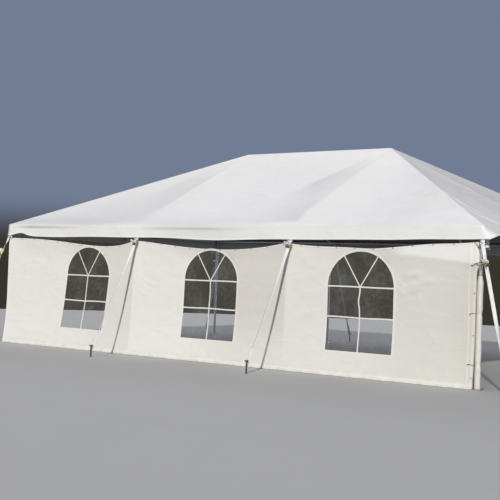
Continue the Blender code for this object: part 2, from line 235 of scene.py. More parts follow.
def turned(centre, axis, outline, sides=16):
    # (radius, height) points turned round an axis that starts at the centre
    outline = np.asarray(outline, float)
    axis = unit(axis)
    aside = unit(np.cross(axis, (0.31, 0.95, 0.11)))
    rings = outline[:, 0, None, None] * roundProfile(1.0, sides)[None]
    # a path needs length at each step for its direction, so level steps are told apart
    heights = outline[:, 1] + np.arange(len(outline)) * 1e-7
    return carry(np.asarray(centre) + heights[:, None] * axis, rings, aside, capped=False)


def throughPoints(points, count):
    # a Catmull-Rom curve through the points, evenly spaced in its parameter
    points = np.asarray(points, float)
    held = np.vstack((2 * points[0] - points[1], points, 2 * points[-1] - points[-2]))
    place = np.linspace(0, len(points) - 1, count)
    k = np.minimum(place.astype(int), len(points) - 2)
    t = (place - k)[:, None]
    a, b, c, d = held[k], held[k + 1], held[k + 2], held[k + 3]
    return 0.5 * (
        2 * b + (c - a) * t + (2 * a - 5 * b + 4 * c - d) * t**2 + (3 * (b - c) + d - a) * t**3
    )


def foldHeights(u, v, folds):
    # Each fold (u0, v0, u1, v1, height, left width, right width) is a ridge on a line:
    # height * exp(-(distance / width)^2), fading at both ends as (4 t (1 - t))^0.6.
    folds = np.asarray(folds, float)
    start, end = folds[:, 0:2], folds[:, 2:4]
    run = end - start
    length = np.linalg.norm(run, axis=1)
    du, dv = u[..., None] - start[:, 0], v[..., None] - start[:, 1]
    share = (du * run[:, 0] + dv * run[:, 1]) / length**2
    off = (du * run[:, 1] - dv * run[:, 0]) / length  # to the right of the line is positive
    width = np.where(off > 0, folds[:, 6], folds[:, 5])
    fade = (4 * np.clip(share * (1 - share), 0, 1)) ** 0.6
    return (folds[:, 4] * np.exp(-(off / width) ** 2) * fade).sum(axis=-1)


# Shader helpers: a source is a (node, output) that an entry is linked from

def setEntries(tree, node, entries):
    # links an entry that is given as a source, and sets any other to its value
    for key, value in entries.items():
        if isinstance(value, tuple) and isinstance(value[0], bpy.types.Node):
            tree.links.new(value[0].outputs[value[1]], node.inputs[key])
        else:
            node.inputs[key].default_value = value


def addNode(tree, kind, entries=None, **settings):
    # a node with its settings, and its entries from values or sources
    node = tree.nodes.new(kind)
    for key, value in settings.items():
        setattr(node, key, value)
    setEntries(tree, node, entries or {})
    return node


def calc(tree, operation, *terms, clamp=False):
    # one step of arithmetic on values or sources
    entries = dict(enumerate(terms))
    return addNode(tree, "ShaderNodeMath", entries, operation=operation, use_clamp=clamp), 0


def noise(tree, place, scale, detail, roughness=0.5, distortion=0.0):
    return addNode(tree, "ShaderNodeTexNoise", {
        "Vector": place, "Scale": scale, "Detail": detail, "Roughness": roughness,
        "Distortion": distortion,
    }), "Fac"


def mapped(tree, value, given=(0.0, 1.0), wanted=(0.0, 1.0), kind="LINEAR"):
    # carries a value from between the given limits to between the wanted ones, clamped
    return addNode(tree, "ShaderNodeMapRange", {
        "Value": value, "From Min": given[0], "From Max": given[1],
        "To Min": wanted[0], "To Max": wanted[1],
    }, interpolation_type=kind), 0


def mixed(tree, share, first, second):
    # first + share * (second - first), for colours
    entries = {"Factor": share, "A": first, "B": second}
    return addNode(tree, "ShaderNodeMix", entries, data_type="RGBA"), 2


def mixedShaders(tree, share, first, second):
    entries = {0: share, 1: (first, 0), 2: (second, 0)}
    return addNode(tree, "ShaderNodeMixShader", entries), 0


def newGroup(name, entries):
    # An entry starts with nothing or three numbers for a vector, one for a float, four for a
    # colour.
    group = bpy.data.node_groups.new(name, "ShaderNodeTree")
    kinds = {1: "NodeSocketFloat", 4: "NodeSocketColor"}
    for label, value in entries.items():
        kind = kinds.get(np.size(value), "NodeSocketVector")
        socket = group.interface.new_socket(name=label, in_out="INPUT", socket_type=kind)
        if np.size(value):
            socket.default_value = value
    return group, group.nodes.new("NodeGroupInput")


def endGroup(group, results):
    # gives a group its outputs, a colour under that name and floats under any other
    for label in results:
        kind = "NodeSocketColor" if label == "Color" else "NodeSocketFloat"
        group.interface.new_socket(name=label, in_out="OUTPUT", socket_type=kind)
    setEntries(group, group.nodes.new("NodeGroupOutput"), results)
    return group


def makeGrime():
    # Two sizes of noise multiplied, then sharpened, choose between a clean and a soiled colour.
    group, given = newGroup("grime", {
        "Vector": (), "Scale": 1.0, "Level": 0.5,
        "Clean": (0.8, 0.8, 0.8, 1), "Soiled": (0.6, 0.6, 0.6, 1),
    })
    place, scale = (given, "Vector"), (given, "Scale")
    coarse = noise(group, place, scale, 4.0, 0.6)
    fine = noise(group, place, calc(group, "MULTIPLY", scale, 7.3), 6.0, 0.65)
    both = calc(group, "MULTIPLY", coarse, fine)
    shape = mapped(group, both, (0.16, 0.42), kind="SMOOTHSTEP")
    mask = calc(group, "MULTIPLY", shape, (given, "Level"), clamp=True)
    colour = mixed(group, mask, (given, "Clean"), (given, "Soiled"))
    return endGroup(group, {"Color": colour, "Mask": mask})


def makeCrinkle():
    # Ridged noise, (1 - |2n - 1|)^3, pulled along one direction, plus a slower swell.
    group, given = newGroup("crinkle", {
        "Vector": (), "Scale": 6.0, "Stretch": (1.0, 1.0, 1.0), "Crease": 0.5,
    })
    scale = (given, "Scale")
    entries = {0: (given, "Vector"), 1: (given, "Stretch")}
    pulled = addNode(group, "ShaderNodeVectorMath", entries, operation="MULTIPLY"), 0
    creases = noise(group, pulled, scale, 2.0, 0.45, 0.6)
    folded = calc(group, "ABSOLUTE", calc(group, "MULTIPLY_ADD", creases, 2.0, -1.0))
    ridge = calc(group, "POWER", calc(group, "SUBTRACT", 1.0, folded), 3.0)
    amount = calc(group, "MULTIPLY", ridge, (given, "Crease"))
    swell = noise(group, pulled, calc(group, "MULTIPLY", scale, 0.37), 3.0)
    return endGroup(group, {"Height": calc(group, "ADD", amount, swell)})


def makeWeave():
    # sin(a u) * sin(a v), a plain basket weave of so many threads a metre
    group, given = newGroup("weave", {"Vector": (), "Threads": 600.0})
    angle = calc(group, "MULTIPLY", (given, "Threads"), math.pi)
    entries = {0: (given, "Vector"), "Scale": angle}
    scaled = addNode(group, "ShaderNodeVectorMath", entries, operation="SCALE"), 0
    parts = addNode(group, "ShaderNodeSeparateXYZ", {0: scaled})
    warp, weft = (calc(group, "SINE", (parts, side)) for side in "XY")
    return endGroup(group, {"Height": calc(group, "MULTIPLY", warp, weft)})


def makeSplash():
    # Mud and damp thrown up from the ground: (1 - z / top)^2 times noise, none above the top.
    group, given = newGroup("splash", {"Vector": (), "Top": 0.3, "Level": 0.5})
    parts = addNode(group, "ShaderNodeSeparateXYZ", {0: (given, "Vector")})
    share = calc(group, "DIVIDE", (parts, "Z"), (given, "Top"))
    left = calc(group, "SUBTRACT", 1.0, share, clamp=True)
    spots = mapped(group, noise(group, (given, "Vector"), 9.0, 8.0, 0.7), (0.35, 0.7))
    spotted = calc(group, "MULTIPLY", calc(group, "POWER", left, 2.0), spots)
    return endGroup(group, {
        "Mask": calc(group, "MULTIPLY", spotted, (given, "Level"), clamp=True),
    })


grimeGroup, crinkleGroup, weaveGroup, splashGroup = (
    makeGrime(), makeCrinkle(), makeWeave(), makeSplash()
)


def newMaterial(name):
    # a material, its tree, its shader and the coordinates that its textures start from
    finish = bpy.data.materials.new(name)
    finish.use_nodes = True
    tree = finish.node_tree
    return finish, tree, tree.nodes["Principled BSDF"], addNode(tree, "ShaderNodeTexCoord")


def addGrime(tree, place, look):
    # the shared patches of soiled colour, with this look's colours and level
    return addNode(tree, "ShaderNodeGroup", {
        "Vector": place, "Scale": look["grimeScale"], "Level": look["grime"],
        "Clean": (*look["colour"], 1), "Soiled": (*look["soiled"], 1),
    }, node_tree=grimeGroup)


def clothMaterial(name, look):
    # coated cloth: a little grime, painted shade where the piece's attribute says so, crinkles
    # and a fine weave in its bump, mud at its foot
    finish, tree, shader, texture = newMaterial(name)
    place = (texture, "Object")
    grime = addGrime(tree, place, look)
    splash = addNode(tree, "ShaderNodeGroup", {
        "Vector": place, "Top": look["mudTop"], "Level": look["mud"],
    }, node_tree=splashGroup)
    # painted shade: the piece's attribute darkens the colour towards the look's grey shade
    # colour
    paintedShade = addNode(tree, "ShaderNodeAttribute", attribute_name="paintedShade")
    seen = mixed(tree, (paintedShade, "Fac"), (grime, "Color"), (*look["grey"], 1))
    seen = mixed(tree, (splash, "Mask"), seen, (*look["mudColour"], 1))
    if "shadeHigh" in look:
        # painted shade: a dark colour from a height upwards, where little light comes in under
        # the roof
        parts = addNode(tree, "ShaderNodeSeparateXYZ", {0: place})
        high = mapped(tree, (parts, "Z"), look["shadeHighFrom"])
        seen = mixed(tree, high, seen, (*look["shadeHigh"], 1))
    crinkle = addNode(tree, "ShaderNodeGroup", {
        "Vector": place, "Scale": look["crinkleScale"], "Stretch": look["stretch"],
        "Crease": look["crease"],
    }, node_tree=crinkleGroup)
    weave = addNode(tree, "ShaderNodeGroup", {
        "Vector": (texture, "UV"), "Threads": look["threads"],
    }, node_tree=weaveGroup)
    folds = addNode(tree, "ShaderNodeBump", {
        "Height": (crinkle, "Height"), "Distance": look["crinkle"], "Strength": 1.0,
    })
    threads = addNode(tree, "ShaderNodeBump", {
        "Height": (weave, "Height"), "Distance": look["thread"], "Strength": 0.5,
        "Normal": (folds, "Normal"),
    })
    setEntries(tree, shader, {
        "Base Color": seen, "Specular IOR Level": look["gloss"], "Normal": (threads, "Normal"),
        "Roughness": mapped(tree, (grime, "Mask"), wanted=look["roughness"]),
    })
    return finish


def metalMaterial(name, look):
    # drawn or cast metal: patches of dull oxide, and a fine bump
    finish, tree, shader, texture = newMaterial(name)
    place = (texture, "Object")
    grime = addGrime(tree, place, look)
    bump = addNode(tree, "ShaderNodeBump", {
        "Height": noise(tree, place, 180.0, 3.0), "Distance": look["bump"], "Strength": 0.4,
    })
    setEntries(tree, shader, {
        "Base Color": (grime, "Color"), "Normal": (bump, "Normal"),
        "Roughness": mapped(tree, (grime, "Mask"), wanted=look["roughness"]),
        "Metallic": mapped(tree, (grime, "Mask"), wanted=look["metal"]),
    })
    return finish


# each look's grey is the shade colour that its painted shade darkens the cloth towards
plainCloth = {
    "grime": 0.4, "gloss": 0.35, "roughness": (0.40, 0.55), "mud": 0.0, "mudTop": 0.1,
    "grey": (0.2, 0.2, 0.2), "stretch": (1.0, 1.0, 1.0), "crease": 0.5,
    "threads": 420.0, "thread": 0.0003, "mudColour": (0.30, 0.26, 0.20),
}
canopyCloth = {
    "grey": (0.16, 0.16, 0.18), "crinkleScale": 1.6, "stretch": (1.0, 1.0, 1.6),
    "crease": 0.35,
}
ropeCloth = {
    "gloss": 0.25, "roughness": (0.70, 0.85), "crinkleScale": 60.0, "crease": 0.8,
    "crinkle": 0.0010, "threads": 300.0, "thread": 0.0010,
}
clothLooks = {
    "canopyVinyl": {
        **canopyCloth, "colour": (0.810, 0.805, 0.800), "soiled": (0.755, 0.750, 0.745),
        "grime": 0.45, "grimeScale": 0.55, "roughness": (0.42, 0.60), "crinkle": 0.012,
    },
    # the inside's dark colour high up is painted shade on the roof's underside
    "canopyInside": {
        **canopyCloth, "colour": (0.780, 0.785, 0.790), "soiled": (0.720, 0.720, 0.720),
        "grime": 0.5, "grimeScale": 0.7, "gloss": 0.25, "roughness": (0.60, 0.75),
        "crinkle": 0.010, "shadeHigh": (0.270, 0.275, 0.280), "shadeHighFrom": (2.02, 2.16),
    },
    "wallVinyl": {
        "colour": (0.795, 0.780, 0.750), "soiled": (0.740, 0.720, 0.690), "grime": 0.45,
        "grimeScale": 0.8, "roughness": (0.45, 0.62), "mud": 0.55, "mudTop": 0.16,
        "grey": (0.22, 0.16, 0.10), "crinkleScale": 2.2, "stretch": (0.8, 1.0, 1.5),
        "crease": 0.45, "crinkle": 0.009,
    },
    "hemTape": {
        "colour": (0.840, 0.825, 0.780), "soiled": (0.740, 0.715, 0.660), "grimeScale": 2.5,
        "gloss": 0.4, "mud": 0.6, "grey": (0.22, 0.16, 0.10), "crinkleScale": 14.0,
        "crinkle": 0.0015, "threads": 500.0, "thread": 0.0004,
    },
    "barTape": {
        "colour": (0.760, 0.755, 0.735), "soiled": (0.650, 0.640, 0.610), "grimeScale": 3.0,
        "gloss": 0.4, "crinkleScale": 16.0, "crinkle": 0.0012, "threads": 500.0,
    },
    "guyWebbing": {
        "colour": (0.830, 0.830, 0.815), "soiled": (0.620, 0.600, 0.550), "grime": 0.5,
        "grimeScale": 3.5, "gloss": 0.25, "roughness": (0.62, 0.80), "mud": 0.8,
        "mudTop": 0.45, "crinkleScale": 20.0, "stretch": (1.0, 1.0, 0.5), "crease": 0.3,
        "crinkle": 0.0008, "threads": 260.0, "thread": 0.0012,
    },
    "tieRope": {
        **ropeCloth, "colour": (0.200, 0.200, 0.205), "soiled": (0.340, 0.320, 0.290),
        "grime": 0.6, "grimeScale": 9.0,
    },
    "oldRope": {
        **ropeCloth, "colour": (0.260, 0.190, 0.065), "soiled": (0.640, 0.560, 0.380),
        "grime": 1.0, "grimeScale": 30.0,
    },
}
metalLooks = {
    "frameAluminium": {
        "colour": (0.64, 0.65, 0.67), "soiled": (0.44, 0.45, 0.47), "grimeScale": 1.8,
        "grime": 0.6, "roughness": (0.30, 0.55), "metal": (0.95, 0.80), "bump": 0.0004,
    },
    "zincSteel": {
        "colour": (0.56, 0.45, 0.22), "soiled": (0.28, 0.19, 0.08), "grimeScale": 14.0,
        "grime": 0.9, "roughness": (0.35, 0.65), "metal": (0.60, 0.25), "bump": 0.0005,
    },
    "stakeIron": {
        "colour": (0.09, 0.085, 0.08), "soiled": (0.16, 0.09, 0.055), "grimeScale": 11.0,
        "grime": 1.0, "roughness": (0.45, 0.80), "metal": (0.85, 0.10), "bump": 0.0010,
    },
    "boltSteel": {
        "colour": (0.60, 0.61, 0.62), "soiled": (0.28, 0.24, 0.20), "grimeScale": 16.0,
        "grime": 0.7, "roughness": (0.28, 0.55), "metal": (1.0, 0.6), "bump": 0.0004,
    },
    "gripPlastic": {
        "colour": (0.045, 0.045, 0.050), "soiled": (0.10, 0.10, 0.10), "grimeScale": 20.0,
        "grime": 0.6, "roughness": (0.40, 0.60), "metal": (0.0, 0.0), "bump": 0.0006,
    },
}
clearLook = {
    "colour": (0.45, 0.46, 0.45), "soiled": (0.45, 0.46, 0.45), "grimeScale": 2.2,
    "grime": 0.07, "gloss": 0.6, "roughness": (0.05, 0.6),
    "least": 0.025, "edge": 0.9,   # of the alpha, seen straight on and from the side
    "ripple": 0.012,
}
cloth = {
    name: clothMaterial(name, {**plainCloth, **look}) for name, look in clothLooks.items()
}
metal = {name: metalMaterial(name, look) for name, look in metalLooks.items()}


def clearMaterial(name, look):
    # Clear sheet that shows mostly by its gloss and haze: its alpha is a small part, plus haze,
    # plus the fifth power of how far it is turned from the eye.
    finish, tree, shader, texture = newMaterial(name)
    place = (texture, "Object")
    haze = (addGrime(tree, place, look), "Mask")
    weight = addNode(tree, "ShaderNodeLayerWeight", {"Blend": 0.5})
    steep = calc(tree, "POWER", (weight, "Facing"), 5.0)
    edge = calc(tree, "MULTIPLY_ADD", steep, look["edge"], look["least"], clamp=True)
    bump = addNode(tree, "ShaderNodeBump", {
        "Height": noise(tree, place, 5.0, 2.0, distortion=0.8), "Distance": look["ripple"],
        "Strength": 0.8,
    })
    setEntries(tree, shader, {
        "Base Color": (*look["colour"], 1), "Specular IOR Level": look["gloss"],
        "Alpha": calc(tree, "ADD", edge, haze, clamp=True),
        "Roughness": mapped(tree, haze, wanted=look["roughness"]), "Normal": (bump, "Normal"),
    })
    return finish


clearVinyl = clearMaterial("clearVinyl", clearLook)
print("finishes made")


# Camera, light and floor

viewLook = {
    "lens": 74.610,
    "at": (10.1341, -15.7317, 1.3923),
    "turn": (91.3464, -2.1206, 36.2134),   # degrees
    # each light: where from, strength, angle in degrees, colour
    "suns": {
        "keyLight": ((0.48, -1.00, 0.46), 2.75, 2.0, (1.0, 0.99, 0.90)),
        "backLight": ((-0.55, 0.80, 0.55), 0.35, 25.0, (1, 1, 1)),
    },
    "sky": (0.320, 0.328, 0.400, 1),
    "backdrop": (0.165, 0.205, 0.300, 1), "backdropLow": (0.040, 0.036, 0.027, 1),
    "floorReach": 17.0, "floor": 0.50, "bounce": 0.28,
}
camera = bpy.data.objects.new("camera", bpy.data.cameras.new("camera"))
camera.data.sensor_width = 36.0
camera.data.lens = viewLook["lens"]
camera.data.clip_end = 200.0
camera.location = viewLook["at"]
camera.rotation_euler = [math.radians(angle) for angle in viewLook["turn"]]
bpy.context.scene.collection.objects.link(camera)
bpy.context.scene.camera = camera
for name, (source, energy, angle, colour) in viewLook["suns"].items():
    sun = bpy.data.objects.new(name, bpy.data.lights.new(name, "SUN"))
    sun.data.energy = energy
    sun.data.angle = math.radians(angle)
    sun.data.color = colour
    sun.rotation_euler = Vector(source).to_track_quat("Z", "Y").to_euler()
    bpy.context.scene.collection.objects.link(sun)


def makeWorld(look):
    # a backdrop that is dark at the floor's far edge and fades to a plain blue-grey above it
    world = bpy.data.worlds.new("studio")
    bpy.context.scene.world = world
    world.use_nodes = True
    tree = world.node_tree
    tree.nodes.clear()
    direction = addNode(tree, "ShaderNodeTexCoord")
    parts = addNode(tree, "ShaderNodeSeparateXYZ", {0: (direction, "Generated")})
    rise = mapped(tree, (parts, "Z"), (0.02, 0.07), kind="SMOOTHSTEP")
    fade = mixed(tree, rise, look["backdropLow"], look["backdrop"])
    sent, seen = (
        addNode(tree, "ShaderNodeBackground", {"Color": colour, "Strength": 1.0})
        for colour in (look["sky"], fade)
    )
    eye = addNode(tree, "ShaderNodeLightPath")
    chosen = mixedShaders(tree, (eye, "Is Camera Ray"), sent, seen)
    addNode(tree, "ShaderNodeOutputWorld", {"Surface": chosen})


def makeFloor(look):
    # a disc: each ring at its radius, each point at (r cos t, r sin t)
    radius, turn = np.meshgrid(
        np.linspace(0, look["floorReach"], 5), np.linspace(0, 2 * math.pi, 97), indexing="ij"
    )
    grid = joined(radius * np.cos(turn), radius * np.sin(turn), -0.001)
    finish, tree, shader, texture = newMaterial("paleFloor")
    level, bounce = look["floor"], look["bounce"]
    grime = addGrime(tree, (texture, "Object"), {
        "colour": (level, level, level * 0.97), "grimeScale": 0.3, "grime": 0.3,
        "soiled": (level * 0.93, level * 0.93, level * 0.90),
    })
    setEntries(tree, shader, {"Base Color": (grime, "Color"), "Roughness": 0.9})
    # what the floor sends up to the tent is less than what the eye sees of it
    dimmer = addNode(tree, "ShaderNodeBsdfDiffuse", {"Color": (bounce, bounce, bounce, 1)})
    eye = addNode(tree, "ShaderNodeLightPath")
    chosen = mixedShaders(tree, (eye, "Is Diffuse Ray"), shader, dimmer)
    setEntries(tree, tree.nodes["Material Output"], {"Surface": chosen})
    makePiece("studioFloor", [(grid, grid[..., :2])], finish, solid=False)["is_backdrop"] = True


makeWorld(viewLook)
bpy.context.scene.view_settings.view_transform = "Standard"
makeFloor(viewLook)
print("camera, light and floor set")


# Canopy: one sheet from the ridge over the hips and rafters to the foot of its valance

canopyLook = {
    "columns": 0.056,       # spacing along the eave
    "slopeRows": 60, "rollRows": 5, "hangRows": 10,
    "roll": 0.022,          # radius where the slope turns down into the valance
    "dip": 0.080,           # sag of each panel between its rafters
    "footBends": (
        (0.25, 0.028, 0.95), (-3.20, 0.010, 0.80), (3.85, -0.024, 0.50), (-4.28, -0.050, 0.18),
    ),
    # painted shade for the sagging panels' shading, as x, reach, amount on the front and back
    # slopes
    "paintedShades": ((0.20, 1.00, 0.08), (2.95, 1.10, 0.10), (-2.90, 1.00, 0.05)),
    # and painted shade in the wedge left of a rafter, under the tight line from its head:
    # rafter, amount
    "shadeWedges": ((1, 0.22), (-1, 0.08)), "wedgeSpread": 0.64, "wedgeReach": 1.15,
    "wedgeFoot": 0.11, "wedgeLight": 0.15,   # its foot bends right, lighter over the leg
    # painted shade of a crease along the valance, 0.05 to 0.07 below the brim: amounts along x
    "creaseX": (-4.50, -4.05, -3.75, -3.30, -2.75, -1.40, -1.05, -0.40, 0.00, 0.45, 0.85),
    "crease": (0.0, 0.62, 0.52, 0.34, 0.0, 0.0, 0.30, 0.36, 0.32, 0.16, 0.0),
    # painted shade on the end faces turned from the light and along the brim, and on the
    # valance as x, reach, amount
    "endShade": 0.26, "brimShade": 0.07,
    "valanceShades": ((-0.10, 1.10, 0.13), (-3.20, 1.20, 0.06), (3.00, 1.20, 0.03)),
    "hollow": 0.030, "hollowReach": 0.28,   # how the sheet falls away on each side of a rafter
    "kick": 0.090, "kickReach": 0.9,   # the right end's valance is blown out at its foot
    "gust": 0.72,           # share by which it stands out more, just round the front corner
    "cornerLifts": ((-1, -1, 0.006, 0.35), (-1, 1, 0.018, 0.30), (1, 1, 0.012, 0.30)),
    "waves": ((31, 0.0030, 0.4), (52, 0.0026, 1.9), (83, 0.0018, 4.1), (131, 0.0010, 2.2)),
    # start x, y, end x, y, height, width on each side of the line
    "folds": (
        (1.62, -0.02, 0.62, -1.95, -0.020, 0.50, 0.17),
        (1.57, -0.08, 0.68, -1.34, 0.013, 0.045, 0.065),
        (1.58, -0.15, 1.02, -2.10, -0.006, 0.12, 0.10),
        (1.75, -0.10, 2.10, -0.95, 0.004, 0.06, 0.06),
        (1.85, -0.18, 2.45, -1.35, -0.005, 0.07, 0.06),
        (2.70, -1.05, 4.62, -1.55, -0.008, 0.12, 0.10),
        (3.75, -2.35, 4.62, -2.72, 0.009, 0.07, 0.10),
        (3.10, -2.62, 4.40, -2.72, -0.004, 0.10, 0.10),
        (1.90, -2.70, 3.60, -2.78, -0.005, 0.12, 0.10),
        (2.20, -2.40, 3.60, -2.48, 0.003, 0.10, 0.10),
        (-1.35, -2.60, 0.30, -2.85, -0.006, 0.14, 0.08),
        (-4.30, -2.98, -3.10, -2.95, 0.008, 0.07, 0.05),
        (-1.25, -2.98, -0.20, -2.96, 0.008, 0.07, 0.05),
        (-2.90, -1.20, -1.65, -2.60, -0.010, 0.40, 0.30),
    ),
    "hipFolds": (          # the tight ones beside the front right hip
        (3.05, -1.90, 4.15, -1.86, 0.032, 0.07, 0.07),
        (3.60, -2.58, 4.70, -1.98, -0.044, 0.08, 0.07),
    ),
    "smallFolds": 110, "seed": 11,
    "hem": (0.024, 0.0075), "hemUp": 0.010,   # its section, and its middle over the foot
}


def smallRoofFolds(count, seed):
    # Random short folds, most of them level ones low on a slope, others that run down it.
    rng = np.random.default_rng(seed)
    side = rng.integers(0, 4, count)
    down = rng.uniform(0.25, 0.97, count) ** 0.6
    level = rng.random(count) < 0.7
    long = side % 2 == 0
    half = np.where(long, ridgeX + down * brimY, down * brimY)
    across = rng.uniform(-0.92, 0.92, count) * half
    length = rng.uniform(0.35, 1.3, count)
    lean = np.where(level, rng.normal(0, 0.10, count), rng.normal(math.pi / 2, 0.25, count))
    run, fall = length * np.cos(lean) / 2, length * np.sin(lean) / 2
    ends = []
    for sign in (-1, 1):
        a = across + sign * run
        b = np.minimum(down * brimY + sign * fall, brimY * 0.985)
        ends.append(np.where(long, a, (ridgeX + b) * np.where(side == 1, 1, -1)))
        ends.append(np.where(long, b * np.where(side == 0, -1, 1), a))
    height = rng.uniform(0.0015, 0.0045, count) * rng.choice([-1, 1], count)
    return joined(*ends, height, *rng.uniform(0.06, 0.12, (2, count)))


def makeCanopy(look):
    # Columns run from a stop on the ridge to a stop on the brim, round ten panels in turn.
    half = np.array([
        (-brimX, -brimY), (-ridgeX, -brimY), (ridgeX, -brimY), (brimX, -brimY), (brimX, 0),
    ])
    brim = np.concatenate((half, -half, half[:1]))
    top = np.clip(brim * (1, 0), -ridgeX, ridgeX)
    lengths = np.linalg.norm(np.diff(brim, axis=0), axis=1)
    counts = np.ceil(lengths / look["columns"]).astype(int)
    station = np.concatenate(
        [panel + np.arange(count) / count for panel, count in enumerate(counts)] + [[10.0]]
    )
    stops = np.arange(11)
    around = np.interp(station, stops, np.concatenate(([0], np.cumsum(lengths))))
    foot, head = (
        joined(*(np.interp(station, stops, line) for line in ends.T)) for ends in (brim, top)
    )
    faces = np.array([(0, -1)] * 3 + [(1, 0)] * 2 + [(0, 1)] * 3 + [(-1, 0)] * 2)
    panel = station.astype(int) % 10
    outward = np.clip(faces[(np.ceil(station).astype(int) - 1) % 10] + faces[panel], -1, 1)

    # Rows: down the slope, round the roll, and down the valance, as (out, height, hang).
    r = look["roll"]
    slopeEnd = brimY - r * (1 - math.sin(pitch))
    rollZ = ridgeZ - slope * slopeEnd - r * math.cos(pitch)
    slopeOut = np.linspace(0, slopeEnd, look["slopeRows"] + 1)
    turn = np.linspace(pitch, math.pi / 2, look["rollRows"] + 1)[1:]
    hang = np.linspace(0, 1, look["hangRows"] + 1)[1:]
    flat = np.zeros(len(hang))
    out = np.concatenate((slopeOut, brimY - r + r * np.sin(turn), flat + brimY))
    height = np.concatenate((ridgeZ - slope * slopeOut, rollZ + r * np.cos(turn), flat + rollZ))
    hang = np.concatenate((np.zeros(len(out) - len(hang)), hang))[:, None]
    x, y = np.moveaxis(head + (foot - head) * (out / brimY)[:, None, None], 2, 0)

    # Sag: 16 s (1 - s) t (1 - t) times the dip between two rafters, and times t in a triangle.
    down = np.clip(out / brimY, 0, 1)[:, None]
    share = station - np.floor(station)
    clear = share * (1 - share)  # none over a rafter or hip
    taper = np.where(np.isin(panel, (1, 6)), 1, down)
    z = height[:, None] - look["dip"] * 16 * clear * down * (1 - down) * taper
    # Off a rafter it falls away as 1 - exp(-d / reach), d being the distance along the eave.
    near = lengths[panel] * taper * np.minimum(share, 1 - share)
    fall = 1 - np.exp(-near / look["hollowReach"])
    z -= look["hollow"] * fall * ramp(down, 0, 0.3) * ramp(down, 0.55, 1, 1, 0)
    held = ramp(down, 0, 0.06) * ramp(hang, 0, 0.3, 1, 0)
    folds = np.concatenate((look["folds"], smallRoofFolds(look["smallFolds"], look["seed"])))
    for some, sharpness in ((folds, 6), (look["hipFolds"], 25)):
        z += foldHeights(x, y, some) * held * np.clip(sharpness * clear, 0, 1)

    # Valance: it leans out a little, waves, and is blown out at the right end.
    circle = 2 * math.pi * around / around[-1]
    wave = sum(size * np.sin(count * circle + start) for count, size, start in look["waves"])
    gust = ramp(y, -brimY, 0.09 - brimY) * ramp(y, -2.3, -1.5, look["gust"], 0)
    kicked = ramp(x, brimX - look["kickReach"], brimX, 0, look["kick"]) * (1 + gust)
    free = hang**1.3 * (wave + 0.004)
    x = x + outward[:, 0] * free + kicked * hang**1.2
    y = y + outward[:, 1] * free
    drop = np.sqrt((rollZ - valanceFoot) ** 2 - kicked**2)
    for sx, sy, lift, reach in look["cornerLifts"]:
        away = np.hypot(foot[:, 0] - sx * brimX, foot[:, 1] - sy * brimY)
        drop = drop - lift * bell(away, 0, reach)
    for at, size, reach in look["footBends"]:
        drop = drop + size * (foot[:, 1] < 1e-6 - brimY) * bell(foot[:, 0], at, reach)
    z = z - hang * (drop - 0.004 * np.sin(17 * circle + 1.0))
    steps = np.hypot(np.diff(out, prepend=0), np.diff(height, prepend=height[0]))
    fallen = np.cumsum(steps)[:, None] + hang * (rollZ - valanceFoot)
    return joined(x, y, z), joined(around, fallen)


def canopyPaintedShade(x, y, z):
    # Painted shade: greyest left of a rafter, with a step at the rafter and fading over the
    # wedge's width, on the end faces away from the front, along the brim, and in the valance's
    # crease.
    look = canopyLook
    away = np.abs(y)
    end = ramp(np.abs(x) - ridgeX - away, -0.02, 0.02)
    slopes, hanging = (
        sum(size * bell(x, at, reach) for at, reach, size in look[key])
        for key in ("paintedShades", "valanceShades")
    )
    for side, size in look["shadeWedges"]:
        reach = np.minimum(look["wedgeSpread"] * away + 0.03, look["wedgeReach"])
        foot = ramp(away, 2.5, 3.1, 0, look["wedgeFoot"])
        share = (side * ridgeX + foot - x) / reach
        fade = ramp(share, ramp(away, 1.1, 2.2, 0.82, 0.10), 1.04, 1, 0)
        near = ramp(share, 0.1, 1.0, look["wedgeLight"], 0)
        fade = fade * ramp(away, brimY - 0.05 - near, brimY - 0.4 * near, 1, 0)
        slopes = slopes + size * ramp(share, -0.05, 0.05) * fade
    ends = ramp(y, -1.9, 0.1, 0, look["endShade"]) * (0.6 + 0.4 * np.sign(x))
    out = np.where(end > 0.5, np.abs(x) - ridgeX, away) / brimY
    shade = slopes * (1 - end) * ramp(out, 0.02, 0.40) + ends * end
    brim = ramp(out, 0.84, 0.95) * ramp(-x, -1.2, 0.6)
    shade = shade + look["brimShade"] * brim * (1 - bell(x, -1.65, 0.45))
    hangs = ramp(-z, 0.02 - rollTop, 0.05 - rollTop)
    line = rollTop - 0.052 - 0.005 * (x + 4.5)
    crease = np.interp(x, look["creaseX"], look["crease"]) * bell(z, line, 0.019)
    return shade * (1 - hangs) + (hanging + crease * (y < 0)) * hangs


rollTop = ridgeZ - slope * (brimY - canopyLook["roll"])
canopyGrid, canopyUv = makeCanopy(canopyLook)
canopy = makePiece(
    "canopy", [(canopyGrid, canopyUv)], cloth["canopyVinyl"], solid=False,
    flip=True, angle=0,
)
# painted shade over the canopy, from its function
setPaintedShade(canopy, canopyPaintedShade)
thicken(canopy, frameSizes["cloth"], cloth["canopyInside"])
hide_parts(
    *[f"{kind}_{side}" for kind in ("roof", "valance")
              for side in ("front", "back", "left", "right")]
)

# a welded rope hem: a slim rounded band that follows the valance's foot
canopyFoot = canopyGrid[-1, :-1]
upFromFoot = unit(canopyGrid[-2, :-1] - canopyFoot)
valanceHem = makePiece("valanceHem", [carry(
    canopyFoot + upFromFoot * canopyLook["hemUp"], flatProfile(*canopyLook["hem"], 0.9),
    upFromFoot, closed=True,
)], cloth["hemTape"])
valanceHeight = ridgeZ - slope * brimY - valanceFoot
canopyArea = 2 * (brimX + ridgeX + brimY) * brimY / math.cos(pitch)
canopyArea += 4 * (brimX + brimY) * valanceHeight
print("canopy made:", canopyGrid.shape, "area", round(canopyArea, 2))


# Front wall: one sheet with three arched openings, hung from the legs

